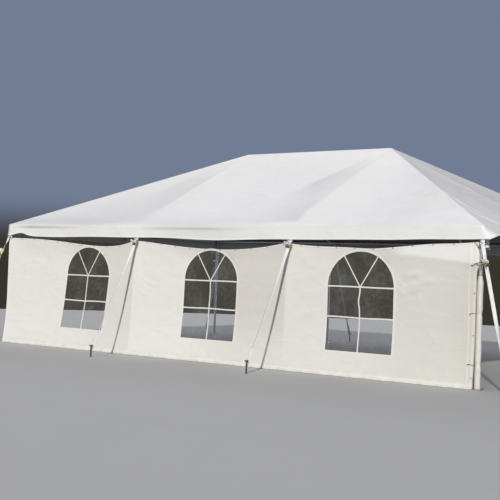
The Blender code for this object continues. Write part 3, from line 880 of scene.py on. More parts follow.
wallLook = {
    "ties": (0.038, 0.055, 0.050, 0.004),   # below the valance's foot at each leg
    "sags": (0.107, 0.122, 0.070),
    "leans": (2.6, 1.33, 0.75),
    "headBends": ((2.97, -0.021, 0.33), (3.85, 0.015, 0.30)),   # x, height, reach
    "flare": 0.075, "flareHeight": 0.900,
    # how far each bay is drawn in between its legs, and how near to a leg that starts
    "bows": (0.006, 0.010, 0.010), "bowPeaks": (0.50, 0.45, 0.42),
    "crease": 0.006, "creaseReach": 0.22,
    # painted shade in each bay, for how its bowed cloth turns from the light: amount at its
    # left and right leg, and where the rise lies
    "paintedShades": ((0.01, 0.14), (0.01, 0.215), (0.085, 0.175)), "shadeRises": (0.62, 0.50, 0.50),
    "footShares": (0.8, 0.5, 0.9),   # how much of it is left at the foot
    "cell": 0.031,
    "pull": 0.034, "pullHeight": 1.685, "pullReach": 0.12,   # of the right edge to the knot
    "flatHeight": 1.960,
    "margin": 0.065, "headMargin": 0.010, "ringRows": 4,
    # start x, z, end x, z, height, width on each side of the line
    "folds": (
        (3.46, 1.44, 3.74, 1.50, 0.017, 0.030, 0.034),
        (3.52, 1.29, 3.93, 1.42, 0.021, 0.030, 0.034),
        (3.42, 1.20, 3.80, 1.31, 0.013, 0.030, 0.034),
        (3.40, 1.06, 3.82, 1.20, 0.005, 0.025, 0.035),
        (3.36, 0.86, 3.85, 1.02, 0.003, 0.035, 0.045),
        (3.40, 0.52, 3.90, 0.72, 0.003, 0.040, 0.045),
        (-4.40, 0.30, -3.30, 0.22, 0.004, 0.050, 0.060),
        (-4.20, 0.62, -3.30, 0.50, 0.003, 0.060, 0.060),
        (1.62, 0.50, 2.20, 0.60, 0.007, 0.022, 0.034),
        (1.62, 0.34, 2.30, 0.34, 0.006, 0.022, 0.034),
        (1.62, 0.80, 2.15, 0.92, 0.006, 0.024, 0.036),
        (1.66, 1.10, 2.20, 1.20, 0.005, 0.026, 0.040),
        (1.66, 1.38, 2.25, 1.46, 0.005, 0.030, 0.040),
        (1.62, 1.62, 2.35, 1.50, 0.004, 0.050, 0.060),
        (-1.45, 1.50, -0.60, 1.20, 0.003, 0.060, 0.070),
        (0.70, 1.20, 1.40, 1.62, 0.006, 0.060, 0.080),
        (0.66, 0.55, 1.40, 0.30, 0.004, 0.060, 0.080),
        (-2.00, 1.55, -1.60, 1.78, 0.006, 0.040, 0.050),
        (-2.02, 0.85, -1.60, 1.35, 0.004, 0.060, 0.060),
    ),
    "smallFolds": 46, "seed": 5,
}
windowLook = {
    "middles": (-2.569, 0.098, 2.780),
    "lap": 0.015,           # of the pane behind the wall
    "rise": 0.472,          # of the arch
    "rises": (0.482, 0.474, 0.504),
    "leans": (0.110, 0.020, -0.010), "widths": (1.000, 1.044, 1.072),
    "bar": 0.021, "fanBar": 0.017, "barDepth": 0.0022,
    "barOut": 0.0014,       # of the bars from the wall's inner face
    "pane": 0.0010, "paneBack": 0.0006,   # its thickness, and its gap from that face
    "billow": 0.0025,       # half of how far it moves out and in
    "lowerBar": 0.434,      # below the arch's foot
    "fan": 59.4,            # degrees of the slanting bars' ends on the arch
    "border": 0.032, "borderDepth": 0.0040,
    "kinks": (0.0, 0.004, -0.018),   # sideways in each upright bar, 0.2 m below the arch's foot
}
wallLeft, wallRight = lowCorner("front_wall")[0], highCorner("front_wall")[0]
faceOut = frameSizes["tube"] + 0.0003 + frameSizes["cloth"]  # outer face, from the leg axes
paneNodes = ("window_pane_left", "window_pane_middle", "window_pane_right")


def windowSizes(look):
    # each window's middle, half width, sill height, arch foot height, lean and arch rise
    found = []
    rows = zip(paneNodes, *[look[key] for key in ("middles", "leans", "widths", "rises")])
    for node, middle, lean, width, rise in rows:
        sill = lowCorner(node)[2] + look["lap"]
        spring = highCorner(node)[2] - look["lap"] - look["rise"]
        found.append((middle, width / 2, sill, spring, lean, rise))
    return found


def leant(z, spring, lean):
    # how far a window's edge has moved sideways at a height: its jambs lean, its arch doesn't
    return lean * np.minimum(z - spring, 0)


def bayOf(x, *keys):
    # a place's bay, its share of the way from that bay's left leg, and the bay's values
    number = np.clip((x + legX) // bay, 0, 2).astype(int)
    share = np.clip((x + legX) / bay - number, 0, 1)
    return (number, share, *(np.array(wallLook[key])[number] for key in keys))


def wallHead(x):
    # The head's height: a line between the ties at two legs, less a sag 4 h (1 - h), where h
    # is the share of the bay raised to that bay's lean, and with its two bends exp(-d^2).
    number, share, lean, sag = bayOf(np.asarray(x, float), "leans", "sags")
    ties = valanceFoot - np.array(wallLook["ties"])
    hang = share**lean
    taut = ties[number] + (ties[number + 1] - ties[number]) * share
    bends = sum(size * bell(x, at, reach) for at, size, reach in wallLook["headBends"])
    return taut - sag * 4 * hang * (1 - hang) + bends


def smallWallFolds(count, seed):
    # random soft folds in the plain parts, most of them nearly level
    rng = np.random.default_rng(seed)
    x = rng.uniform(-4.4, 4.3, count)
    z = rng.uniform(0.12, 1.70, count)
    lean = rng.normal(0.05, 0.30, count)
    run = rng.uniform(0.15, 0.45, count)
    height = rng.uniform(0.0012, 0.0035, count) * rng.choice([-1, 1], count)
    width = rng.uniform(0.045, 0.10, (2, count))
    dx, dz = run * np.cos(lean), run * np.sin(lean)
    return joined(x - dx, z - dz, x + dx, z + dz, height, *width)


windows = windowSizes(windowLook)
wallFolds = np.concatenate(
    (wallLook["folds"], smallWallFolds(wallLook["smallFolds"], wallLook["seed"]))
)


def windowNear(x, z):
    # 1 inside a window, fading to 0 a hand's breadth outside it
    near = np.zeros(x.shape)
    for middle, half, sill, spring, lean, rise in windows:
        across = np.abs(x - middle - leant(z, spring, lean)) - half
        away = np.maximum(np.maximum(across, z - spring - rise), sill - z)
        near = np.maximum(near, ramp(away, 0, 0.10, 1, 0))
    return near


def aboveBand(x, z):
    # height over the crease that runs down from the right window's head to the first tie
    return z - 1.758 + 0.093 * (x - 3.262)


def wallPaintedShade(x, y, z):
    # Painted shade: from the left leg's amount to the right one's over a rise in each bay, with
    # a sharp step at each leg, less near the foot, and none above the crease at the right.
    number, share, paintedShades, middle, low = bayOf(x, "paintedShades", "shadeRises", "footShares")
    left, right = paintedShades.T
    middle = middle - ramp(z, 1.50, 1.78, 0, 0.20)
    shade = ramp(share, middle - 0.16, middle + 0.22, left, right)
    shade = shade + ramp(share, 0.80, 1.0, 0, 0.07) * (number == 2)
    shade = shade + ramp(z, 1.50, 1.78, 0, 0.05) * ramp(share, 0, 0.2)
    shade = shade * ramp(z, 0.15, 0.80, low, 1) * ramp(z, 0.03, 0.12)
    return shade * (1 - ramp(aboveBand(x, z), -0.016, 0.016) * ramp(x, 3.25, 3.5))


def wallOut(x, z):
    # How far the wall's outer face stands in front of the leg axes: the flare at its foot is
    # flare * (1 - z / height)^2, each bay is drawn in as sin(pi h) and, close to a leg, as
    # 1 - exp(-d / reach), folds fan out from the ties as cos(11 a) exp(-r / 0.35), and the
    # head's right end leans back above a line.
    look = wallLook
    flare = look["flare"] * ramp(x, 4.1, wallRight, 1, 0.55)
    out = faceOut + flare * np.clip(1 - z / look["flareHeight"], 0, 1) ** 2
    _, share, bow, peak = bayOf(x, "bows", "bowPeaks")
    bow = bow * np.sin(math.pi * share ** (np.log(0.5) / np.log(peak)))
    near = 1 - np.exp(-np.minimum(share, 1 - share) * bay / look["creaseReach"])
    out = out - (bow + look["crease"] * near) * ramp(z, 0, 0.9, 0.25, 1)
    free = np.clip(4 * share * (1 - share), 0, 1)
    fan = 0
    for leg in (-legX, -sideLegX, sideLegX, legX):
        across, fallen = x - leg, wallHead(leg) - z
        reach = np.hypot(across, fallen)
        angle = 11 * np.arctan2(across, np.maximum(fallen, 1e-3)) + leg
        fan = fan + np.cos(angle) * np.exp(-reach / 0.35) * ramp(reach, 0.03, 0.15)
    back = ramp(x, 2.9, 3.5) * np.logaddexp(0, aboveBand(x, z) / 0.012) * 0.012
    loose = foldHeights(x, z, wallFolds) * np.clip(2.2 * free, 0.15, 1) + 0.008 * fan * free
    return out + loose * (1 - 0.85 * windowNear(x, z)) - 0.16 * back


def onWall(x, z, lift=0.0):
    # Points at a place on the wall, `lift` in front of its outer face. The right edge is drawn
    # out and forwards by exp(-h^4), h being the height off the knot.
    x, z = np.broadcast_arrays(np.asarray(x, float), np.asarray(z, float))
    pulled = np.exp(-(((z - wallLook["pullHeight"]) / wallLook["pullReach"]) ** 4))
    pulled = pulled * ramp(x, 4.30, wallRight)
    out = legY + wallOut(x, z) + lift + 0.014 * pulled
    return joined(x + wallLook["pull"] * pulled, -out, z)


def evenly(start, end):
    # places from start to end, at most a cell apart
    cells = int(math.ceil((end - start) / wallLook["cell"]))
    return np.linspace(start, end, max(2, cells + 1))


def wallSurfaces(look):
    # Plain patches between the windows, and a ring of patches from each window's edge to the
    # rectangle round it. Heights above the rectangles are stretched up to the hanging head.
    arched, margin, high = windowLook["rise"], look["margin"], look["flatHeight"]
    _, _, sill, spring, _, _ = windows[0]
    base, top = sill - margin, spring + arched + look["headMargin"]

    def hung(flat):
        # Flat (x, z) to a place on the wall, with its flat place as the cut. Above the arches'
        # feet it is stretched to each arch's rise, and above the rectangles to the head.
        x, z = flat[..., 0], flat[..., 1]
        lift = sum(
            ramp(np.abs(x - middle), 0.62, 0.85, (rise / arched - 1) * (top - spring), 0)
            for middle, _, _, _, _, rise in windows
        )
        arch = z + lift * np.clip((z - spring) / (top - spring), 0, 1)
        above = top + lift + (z - top) / (high - top) * (wallHead(x) - top - lift)
        return onWall(x, np.where(z > top, above, arch)), flat

    def plain(columns, rows):
        return hung(joined(*np.meshgrid(columns, rows)))

    surfaces = []
    edge = wallLeft
    below, above = evenly(0.001, base), evenly(top, high)
    lower, upper = evenly(base, spring), evenly(spring, top)
    side = np.concatenate((lower, upper[1:]))
    rows = np.concatenate((below, side[1:], above[1:]))
    lowerShare = (lower - base) / (spring - base)
    turn = math.pi / 4 * (upper[1:] - spring) / (top - spring)
    share = np.linspace(0, 1, look["ringRows"] + 1)[:, None, None]
    for middle, half, _, _, lean, _ in windows:
        shift = lean * (spring - sill)
        left = middle - half - max(shift, 0) - margin
        right = middle + half - min(shift, 0) + margin
        across = evenly(left, right)
        surfaces.append(plain(evenly(edge, left), rows))
        surfaces += [plain(across, below), plain(across, above)]

        # The opening's edge, matched point by point to the rectangle's four sides.
        jamb = joined(half, sill + lowerShare * (spring - sill))
        curve = joined(half * np.cos(turn), spring + arched * np.sin(turn))
        sideEdge = np.concatenate((jamb, curve))
        place = (across - left) / (right - left) * 2 - 1
        over = math.pi / 2 - math.pi / 4 * place
        archEdge = joined(middle + half * np.cos(over), spring + arched * np.sin(over))
        for inner, outer, step in (
            (joined(middle + half * place, sill), joined(across, base), 1),
            (archEdge, joined(across, top), -1),
            (sideEdge + (middle, 0), joined(right, side), 1),
            (sideEdge * (-1, 1) + (middle, 0), joined(left, side), -1),
        ):
            inner = inner + joined(leant(inner[:, 1], spring, lean), 0)
            surfaces.append(hung((outer + (inner - outer) * share)[::step]))
        edge = right
    return surfaces + [plain(evenly(edge, wallRight), rows)]


frontWall = makePiece(
    "frontWall", wallSurfaces(wallLook), cloth["wallVinyl"], solid=False,
    angle=0, weld=1e-4,
)
# painted shade over the wall, from its function
setPaintedShade(frontWall, wallPaintedShade)
thicken(frontWall, frameSizes["cloth"])
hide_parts("front_wall")
print("front wall made:", len(frontWall.data.vertices), "points")


trimLook = {
    "margin": 0.004,        # of a band's ends from the wall's edges
    # how far it stands out, its width and its depth
    "head": (0.0012, 0.021, 0.0042), "foot": (0.0010, 0.054, 0.0044),
    "hemTop": 0.058, "headLines": (0.002, 0.022),   # below the wall's head
    # each upright strip's foot and head, in from an edge of the wall, and its width
    "leftStrip": (0.022, 0.022, 0.040),
    "rightStrips": ((-0.018, -0.018, 0.034), (-0.080, -0.105, 0.022)),
    "strip": 0.0040, "turnedIn": (0.020, 0.0030),
}


def trimPiece(name, surfaces, finish="hemTape"):
    # a band or strip that is sewn or welded to the wall
    return makePiece(name, surfaces, cloth[finish])


def makeHems():
    # webbing bands sewn along the hanging head and, doubled and with a small wave, at the foot
    look = trimLook
    x = np.linspace(wallLeft + look["margin"], wallRight - look["margin"], 420)
    wave = 0.0015 * np.sin(5.3 * x) + 0.001 * np.sin(13.1 * x + 1)
    head = (wallHead(x) - drop for drop in look["headLines"])
    bands = []
    for (lift, width, depth), heights in (
        (look["head"], head), (look["foot"], (look["hemTop"] + wave, look["margin"])),
    ):
        top, low = (onWall(x, z) for z in heights)
        path = (top + low) / 2 - (0, lift, 0)
        bands.append([carry(path, flatProfile(width, depth, 0.6), unit(top - low))])
    return [trimPiece("wallHeadHem", bands[0]), trimPiece("wallFootHem", bands[1])]


def makeEdgeStrips():
    # upright welded strips: both ends, the seam short of the right end, and the turned-in edge
    look = trimLook
    surfaces = []
    strips = [(wallLeft, look["leftStrip"])]
    strips += [(wallRight, strip) for strip in look["rightStrips"]]
    for edge, (foot, head, width) in strips:
        z = np.linspace(look["margin"], wallHead(edge + head) - 0.006, 90)
        path = onWall(edge + foot + (head - foot) * ramp(z, 0.0, 1.9), z, 0.0009)
        surfaces.append(carry(path, flatProfile(width, look["strip"], 0.6), (1, 0, 0)))
    z = np.linspace(look["margin"], wallHead(wallRight) - 0.008, 90)
    path = onWall(wallRight - 0.0016, z, -0.0125)
    surfaces.append(carry(path, flatProfile(*look["turnedIn"], 0.6), (0, 1, 0)))
    return trimPiece("wallEdgeStrips", surfaces)


def windowRim(window, grow, corner=0.02):
    # (x, z) points round a window's edge, moved outwards by `grow`, its sill corners rounded
    middle, half, sill, spring, lean, rise = window
    half, base, rise = half + grow, sill - grow, rise + grow
    turn = np.linspace(0, math.pi, 61)
    arch = joined(half * np.cos(turn), spring + rise * np.sin(turn))
    bend = np.linspace(math.pi, 1.5 * math.pi, 7)
    left = joined(corner - half + corner * np.cos(bend), base + corner * (1 + np.sin(bend)))
    jamb = joined(-half, np.linspace(spring, base + corner, 26)[1:-1])
    floor = joined(np.linspace(corner - half, half - corner, 30)[1:-1], base)
    other = (-1, 1)
    rim = np.concatenate((arch, jamb, left, floor, left[::-1] * other, jamb[::-1] * other))
    return rim[:, 0] + middle + leant(rim[:, 1], spring, lean), rim[:, 1]


def makeBorders(look):
    # a welded band round each opening: the rim's path, with its width across it on the wall
    surfaces = []
    for window in windows:
        path = onWall(*windowRim(window, look["border"] / 2 - 0.004), 0.0006)
        across = np.cross(np.roll(path, -1, axis=0) - np.roll(path, 1, axis=0), (0, 1, 0))
        profile = flatProfile(look["border"], look["borderDepth"], 0.7)
        surfaces.append(carry(path, profile, across, closed=True))
    return trimPiece("windowBorders", surfaces)


def makePane(name, node, window, look):
    # a sheet over the opening: columns from its foot to its arch, lapped behind the wall, and
    # billowed by sin(9x + 3z) sin(5z + 2x) away from its edges
    middle, half, sill, spring, lean, rise = window
    lap = look["lap"]
    half, base, rise = half + lap, sill - lap, rise + lap
    across = -np.cos(np.linspace(0, math.pi, 33))[None]
    share = np.linspace(0, 1, 37)[:, None]
    top = spring + rise * np.sqrt(np.clip(1 - across**2, 0, 1))
    z = base + share * (top - base)
    x = middle + half * across + leant(z, spring, lean)
    inside = ramp(1 - np.abs(across), 0, 0.25) * ramp(share, 0, 0.15)
    inside = inside * ramp(share, 0.85, 1, 1, 0)
    grid = onWall(x, z, -frameSizes["cloth"] - look["paneBack"])
    billow = np.sin(9 * x + 3 * z) * np.sin(5 * z + 2 * x) + 1
    grid[..., 1] += look["billow"] * inside * billow
    piece = makePiece(
        name, [(grid, joined(x, z))], clearVinyl, solid=False, angle=0
    )
    thicken(piece, look["pane"])
    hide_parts(node)


def makeBars(name, window, kink, look):
    # Welded strips over a pane: two level ones, one upright with a kink, two fanned out.
    middle, half, sill, spring, lean, rise = window
    fan = math.radians(look["fan"])
    level = np.linspace(-1, 1, 40)
    fall = np.linspace(0, 1, 48)
    aside, up = half * math.cos(fan) * fall, spring + rise * math.sin(fan) * fall
    bars = (
        (half * level, spring + 0.002 * np.sin(3 * level + middle)),
        (half * level, spring - look["lowerBar"] + 0.003 * np.cos(4 * level + middle)),
        (kink * bell(fall, 0.22, 0.09) + 0.003 * np.sin(9 * fall + middle),
         spring + (sill - spring) * fall),
        (-aside, up), (aside, up),
    )
    surfaces = []
    for number, (across, z) in enumerate(bars):
        profile = flatProfile(look["bar" if number < 3 else "fanBar"], look["barDepth"], 0.8)
        # each bar lies a hair in front of the one before it
        lift = -frameSizes["cloth"] + look["barOut"] + 0.0001 * number
        path = onWall(middle + across + leant(z, spring, lean), z, lift)
        surfaces.append(carry(path, profile, np.cross(np.gradient(path, axis=0), (0, 1, 0))))
    return trimPiece(name, surfaces, "barTape")


hems = [*makeHems(), makeEdgeStrips(), makeBorders(windowLook)]
# painted shade on the hems, strips and borders: most of the wall's painted shade where they lie
for hem in hems:
    setPaintedShade(hem, lambda x, y, z: 0.65 * wallPaintedShade(x, y, z))
rows = zip(("Left", "Middle", "Right"), paneNodes, windows, windowLook["kinks"])
for side, node, window, kink in rows:
    makePane(f"windowPane{side}", node, window, windowLook)
    hems.append(makeBars(f"windowBars{side}", window, kink, windowLook))
headLine = wallHead(np.linspace(wallLeft, wallRight, 400))


# The cloth sleeve round the right front corner leg

coverLook = {
    "radius": 0.0425, "thickness": 0.0025, "rows": 110, "columns": 56,
    "gather": 0.011, "nip": 0.006,   # how much narrower it is at its top and at each tie
    "ties": (0.985, 0.330),
    # painted shade: less on the cover's right side, more on its left side that is in shade
    "paintedShades": (0.17, 0.49),   # at its right and left side
    "folds": ((3, 0.0014, 0.2), (5, 0.0009, 1.3), (8, 0.0005, 2.0)),
}


def makeLegCover(look):
    # Radius at angle a and height z: gathered in at the top, nipped in at each tie, opening a
    # little at the foot, with upright folds a * cos(n t + twist z).
    low, high = lowCorner("leg_cover_front_right"), highCorner("leg_cover_front_right")
    x, y = (low + high)[:2] / 2
    z, turn = np.meshgrid(
        np.linspace(low[2], high[2], look["rows"]),
        np.linspace(0, 2 * math.pi, look["columns"] + 1), indexing="ij",
    )
    wide, narrow = look["radius"], look["radius"] - look["gather"]
    radius = ramp(z, high[2] - 0.09, high[2] - 0.02, wide, narrow)
    for tie in look["ties"]:
        radius = radius - look["nip"] * bell(z, tie, 0.035)
    for number, size, start in look["folds"]:
        radius = radius + size * np.cos(number * turn + start + 1.7 * z)
    radius = radius + 0.0012 * np.sin(23 * z + 2 * np.cos(turn))
    grid = joined(x + radius * np.cos(turn), y + radius * np.sin(turn), z)
    piece = makePiece(
        "legCover", [(grid, joined(turn * look["radius"], z))], cloth["wallVinyl"],
        solid=False, angle=0,
    )
    # painted shade, darker towards the cover's left side
    setPaintedShade(piece, lambda px, py, pz: ramp(x - px, -0.012, 0.034, *look["paintedShades"]))
    thicken(piece, look["thickness"])
    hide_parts("leg_cover_front_right")
    return x, y


coverAt = makeLegCover(coverLook)


# Rope ties: the wall's head to each leg's socket, and its right edge to the leg cover

tieLook = {
    "ring": 0.0028, "headRope": 0.0025, "edgeRope": 0.0040,   # radii of the ropes
    "ringDown": 0.115,      # of the rope round a leg's socket, from the eave
    "spread": 0.050,        # of the wall's eyelets on each side of a leg
    "slips": (0.006, -0.014),   # of each edge rope's end from its height
    "eyelets": 31, "edgeEyelets": (0.15, 0.70, 1.25, 1.62),
    "edgeMargin": 0.018, "seamMargin": 0.075,
    "eyeletRim": ((0.0045, -0.001), (0.006, 0.0012), (0.009, 0.0012), (0.0105, -0.001)),
    "eyelet": 0.0008, "eyeletSides": 14,
}


def rope(points, count, radius, aside):
    # a rope along a smooth curve through the points
    return carry(throughPoints(points, count), roundProfile(radius, 8), aside)


def ropeRing(centre, radius, thickness, tilt=0.0, axis=(0, 0, 1)):
    # a closed loop of rope round an axis, one side of it lifted by the tilt
    turn = closedTurn(24)
    axis = unit(axis)
    aside = unit(np.cross(axis, (0.13, 0.97, 0.21)))
    path = np.asarray(centre) + np.cos(turn) * (radius * aside + tilt * axis)
    path = path + np.sin(turn) * radius * np.cross(axis, aside)
    return carry(path, roundProfile(thickness, 8), axis, closed=True)


def makeTies(look):
    surfaces = []
    for x in (-legX, -sideLegX, sideLegX):
        # round the leg's socket, then down to the wall's head on each side
        top = (x, -legY, eaveZ - look["ringDown"])
        surfaces.append(ropeRing(top, frameSizes["sleeve"] + 0.003, look["ring"], 0.006))
        for side in (-1, 1):
            foot = onWall(x + side * look["spread"], wallHead(x) - 0.022, 0.004)
            start = np.array((x + side * 0.018, -legY - 0.031, eaveZ - 0.117))
            middle = (start + foot) / 2 + (side * 0.006, -0.006, 0)
            surfaces.append(rope((start, middle, foot), 14, look["headRope"], (0, 1, 0)))
    for height, slip in zip(coverLook["ties"], look["slips"]):
        # from the eyelet over the strip and round the wall's edge, into the cover's side
        foot = onWall(wallRight - look["seamMargin"], height - 0.004, 0.004)
        edge = onWall(wallRight - 0.004, height + slip, 0.005)
        start = (coverAt[0] - 0.034, coverAt[1] - 0.016, height + slip)
        points = (foot, (foot + edge) / 2 + (0, -0.004, 0.003), edge, start)
        surfaces.append(rope(points, 22, look["edgeRope"], (0, 1, 0)))
    makePiece("wallTies", surfaces, cloth["tieRope"])


def makeEyelets(look):
    # pressed rings along the wall's head and down its right edge
    x = np.linspace(wallLeft + 0.05, wallRight - 0.05, look["eyelets"])
    places = list(zip(x, wallHead(x) - 0.013))
    places += [(wallRight - look["seamMargin"], tie - 0.012) for tie in coverLook["ties"]]
    places += [(wallRight - look["edgeMargin"], z) for z in look["edgeEyelets"]]
    surfaces = [
        turned(onWall(*place, 0.0030), (0, -1, 0), look["eyeletRim"], look["eyeletSides"])
        for place in places
    ]
    piece = makePiece(
        "wallEyelets", surfaces, metal["boltSteel"], solid=False
    )
    thicken(piece, look["eyelet"])


makeTies(tieLook)
makeEyelets(tieLook)
print("leg cover, ties and eyelets made")


# Guy lines: tab, rings, ratchet, strap and stake

guyLook = {
    "strap": 0.050, "strapDepth": 0.0026,
    "tabShift": 0.085, "tabTurn": 150, "hubTurn": 52, "cornerOut": 0.614,
    "ringDrop": 0.030, "ringOut": 0.062,
    "ringAside": 0.010, "ringAsideKicked": 0.040,   # the second under the kicked-out end
    "sideRatchet": 0.020, "cornerRatchet": 0.225,
    "stake": 0.0125, "stakeHead": 0.030, "stakeTop": 0.190,
    "strapFoot": 0.110, "sag": 0.006,
    "twist": 0.62,          # radians that a corner strap's middle is turned
    "turnAt": (0.0, 0.08, 0.20, 0.36, 0.57, 0.80, 0.90, 1.0),   # along a side strap
    "turns": (0.0, 0.45, 0.10, -0.25, -0.42, -0.60, -0.40, 0.0),
    # the spare strap's loops at a ratchet: their reach, and how far they lie to its side
    "sideBow": (0.060, 0.0), "cornerBow": (0.036, -0.034),
    "spareAt": 0.112, "spareFoot": 1.850, "spareTurn": 0.95,   # the unused tabs at the corners
    "seat": 0.0012,         # between a tab and the tube that it goes round
    "sewn": 0.98,           # width of a doubled end, as a share of the strap
    "seam": 0.0034,         # between a strap and its folded end
    # each ring: how much wider than the strap it is, its height and its wire's radius
    "tabRing": (0.012, 0.030, 0.0035), "strapRing": (0.010, 0.034, 0.0035),
    "stakeRing": (0.010, 0.040, 0.0040), "spareRing": (0.012, 0.032, 0.0035),
    "lastRing": 0.050,      # from the strap's lower end to the stake's top
}
ratchetLook = {
    "length": 0.105, "width": 0.062,
    "plate": 0.016, "plateEnds": 0.35,   # half height, and a power that squares its ends
    "spool": 0.034, "spoolUp": 0.001,    # from its start, and above its middle
    "gear": 0.0175, "teeth": 9, "toothDepth": 0.10,
    "armShare": (0.72, 0.5), "armAt": (0.024, 0.020),
    # how far in from the side the plate, gear and arm start and end
    "layers": ((0.003, 0.0), (0.007, 0.0035), (0.0105, 0.008)),
    "base": 0.002, "baseDown": 0.013, "baseEnds": (0.08, 0.92),
    "bolt": 0.0045, "boltsAt": (0.006, 0.097), "spoolBolt": 0.0065,
    "grip": 0.0085, "gripIn": 0.018, "gripUp": 0.020, "ribs": 4, "ribDepth": 0.10,
    "roll": (0.0085, 0.0190), "rollTurns": 3.5, "rollDepth": 0.0016,
    "bowUp": 0.046, "bowAlong": 0.012, "knot": 0.011, "knotUp": (0.018, 0.030, 0.070, 0.074),
}


def steelPiece(name, surfaces, finish="boltSteel", angle=40):
    # a metal fitting
    return makePiece(name, surfaces, metal[finish], angle=angle)


def signedPower(values, power):
    # |v|^power with the sign of v
    return np.sign(values) * np.abs(values) ** power


def dRing(centre, across, along, wider, height, thickness):
    # a flattened loop, (w |cos|^0.65, h |sin|^0.8) with each sign kept, round its centre
    turn = closedTurn(32)
    width = guyLook["strap"] + wider
    path = np.asarray(centre) + signedPower(np.cos(turn), 0.65) * width / 2 * across
    path = path + signedPower(np.sin(turn), 0.80) * height / 2 * along
    return carry(path, roundProfile(thickness, 8), np.cross(across, along), closed=True)


def makeRatchet(name, start, along, across, face, bow, aside):
    # side plates, toothed wheels, handle, bolts and grip; its spool's webbing is given back
    look = ratchetLook
    long, half = look["length"], look["width"] / 2
    turn = np.linspace(0, 2 * math.pi, 25)
    side = joined(
        (0.5 + 0.5 * np.cos(turn)) * long,
        look["plate"] * signedPower(np.sin(turn), look["plateEnds"]),
    )
    turn = np.linspace(0, 2 * math.pi, 4 * look["teeth"] + 1)
    teeth = 1 + look["toothDepth"] * np.sign(np.sin(look["teeth"] * turn))
    gear = roundProfile(look["gear"], 4 * look["teeth"]) * teeth[:, None]
    gear = gear + (look["spool"], look["spoolUp"])
    arm = side * look["armShare"] + look["armAt"]
    # carry() turns a profile's second number by along x aside, which here is across x along
    upright = (1, 1 if np.cross(across, along) @ face > 0 else -1)
    surfaces = []
    for sign in (-1, 1):
        for outline, layer in zip((side, gear, arm), look["layers"]):
            ends = np.sort([sign * (half - inwards) for inwards in layer])
            surfaces.append(carry(start + ends[:, None] * across, outline * upright, along))
    ends = start + np.outer(look["baseEnds"], along * long) - face * look["baseDown"]
    surfaces.append(carry(ends, flatProfile(look["width"] - 0.004, look["base"]), across))
    steelPiece(f"{name}Ratchet", surfaces, "zincSteel", 30)

    bolts = []
    first, last = look["boltsAt"]
    for at, up, radius in (
        (first, 0, look["bolt"]), (look["spool"], look["spoolUp"], look["spoolBolt"]),
        (last, 0, look["bolt"]),
    ):
        head = [
            (0, -half - 0.004), (radius * 1.4, -half - 0.004), (radius * 1.5, -half - 0.001),
            (radius, -half - 0.001),
        ]
        outline = head + [(r, -height) for r, height in reversed(head)]
        bolts.append(turned(start + along * at + face * up, across, outline, 14))
    steelPiece(f"{name}Bolts", bolts, angle=30)

    grip = start + along * (long - look["gripIn"]) + face * look["gripUp"]
    ends = grip + np.linspace(-1, 1, 9)[:, None] * across * (half - 0.008)
    ribs = 1 + look["ribDepth"] * np.cos(np.linspace(0, 2 * math.pi * look["ribs"], 9))
    grip = carry(ends, roundProfile(look["grip"]) * ribs[:, None, None], along)
    makePiece(f"{name}Grip", [grip], metal["gripPlastic"])

    # the roll on the spool, and the spare strap folded into a loose bow over it
    spool = start + along * look["spool"] + face * look["spoolUp"]
    spiral = np.linspace(0, 2 * math.pi * look["rollTurns"], 84)[:, None]
    inner, outer = look["roll"]
    radius = inner + (outer - inner) * spiral / spiral[-1]
    path = spool + radius * np.cos(spiral) * along + radius * np.sin(spiral) * face
    roll = carry(path, flatProfile(guyLook["strap"] * 0.92, look["rollDepth"]), across)
    turn = closedTurn(48)
    knot = spool + along * look["bowAlong"] + across * aside
    path = (
        knot + bow * np.sin(turn) * (1 + 0.12 * np.cos(turn)) * across
        + (0.020 * np.sin(2 * turn + 0.3) + 0.010 * np.sin(turn)) * along
        + (look["bowUp"] + 0.006 * np.cos(turn)) * face
    )
    loops = carry(
        path, flatProfile(guyLook["strap"] * 0.8, guyLook["strapDepth"]), face, closed=True
    )
    path = knot + np.outer(look["knotUp"], face)
    return [roll, loops, carry(path, roundProfile(look["knot"]), along)]


def wrapped(centre, outward, hold, start, end, count=16):
    # an arc round a tube, from and to so many degrees above the outward direction
    turn = np.radians(np.linspace(start, end, count))[:, None]
    arc = np.cos(turn) * np.asarray(outward) + np.sin(turn) * np.array((0, 0, 1))
    return np.asarray(centre) + hold * arc


def strapBand(path, side, share=1.0):
    # webbing along a path, of the strap's width or a share of it
    return carry(path, flatProfile(guyLook["strap"] * share, guyLook["strapDepth"]), side)


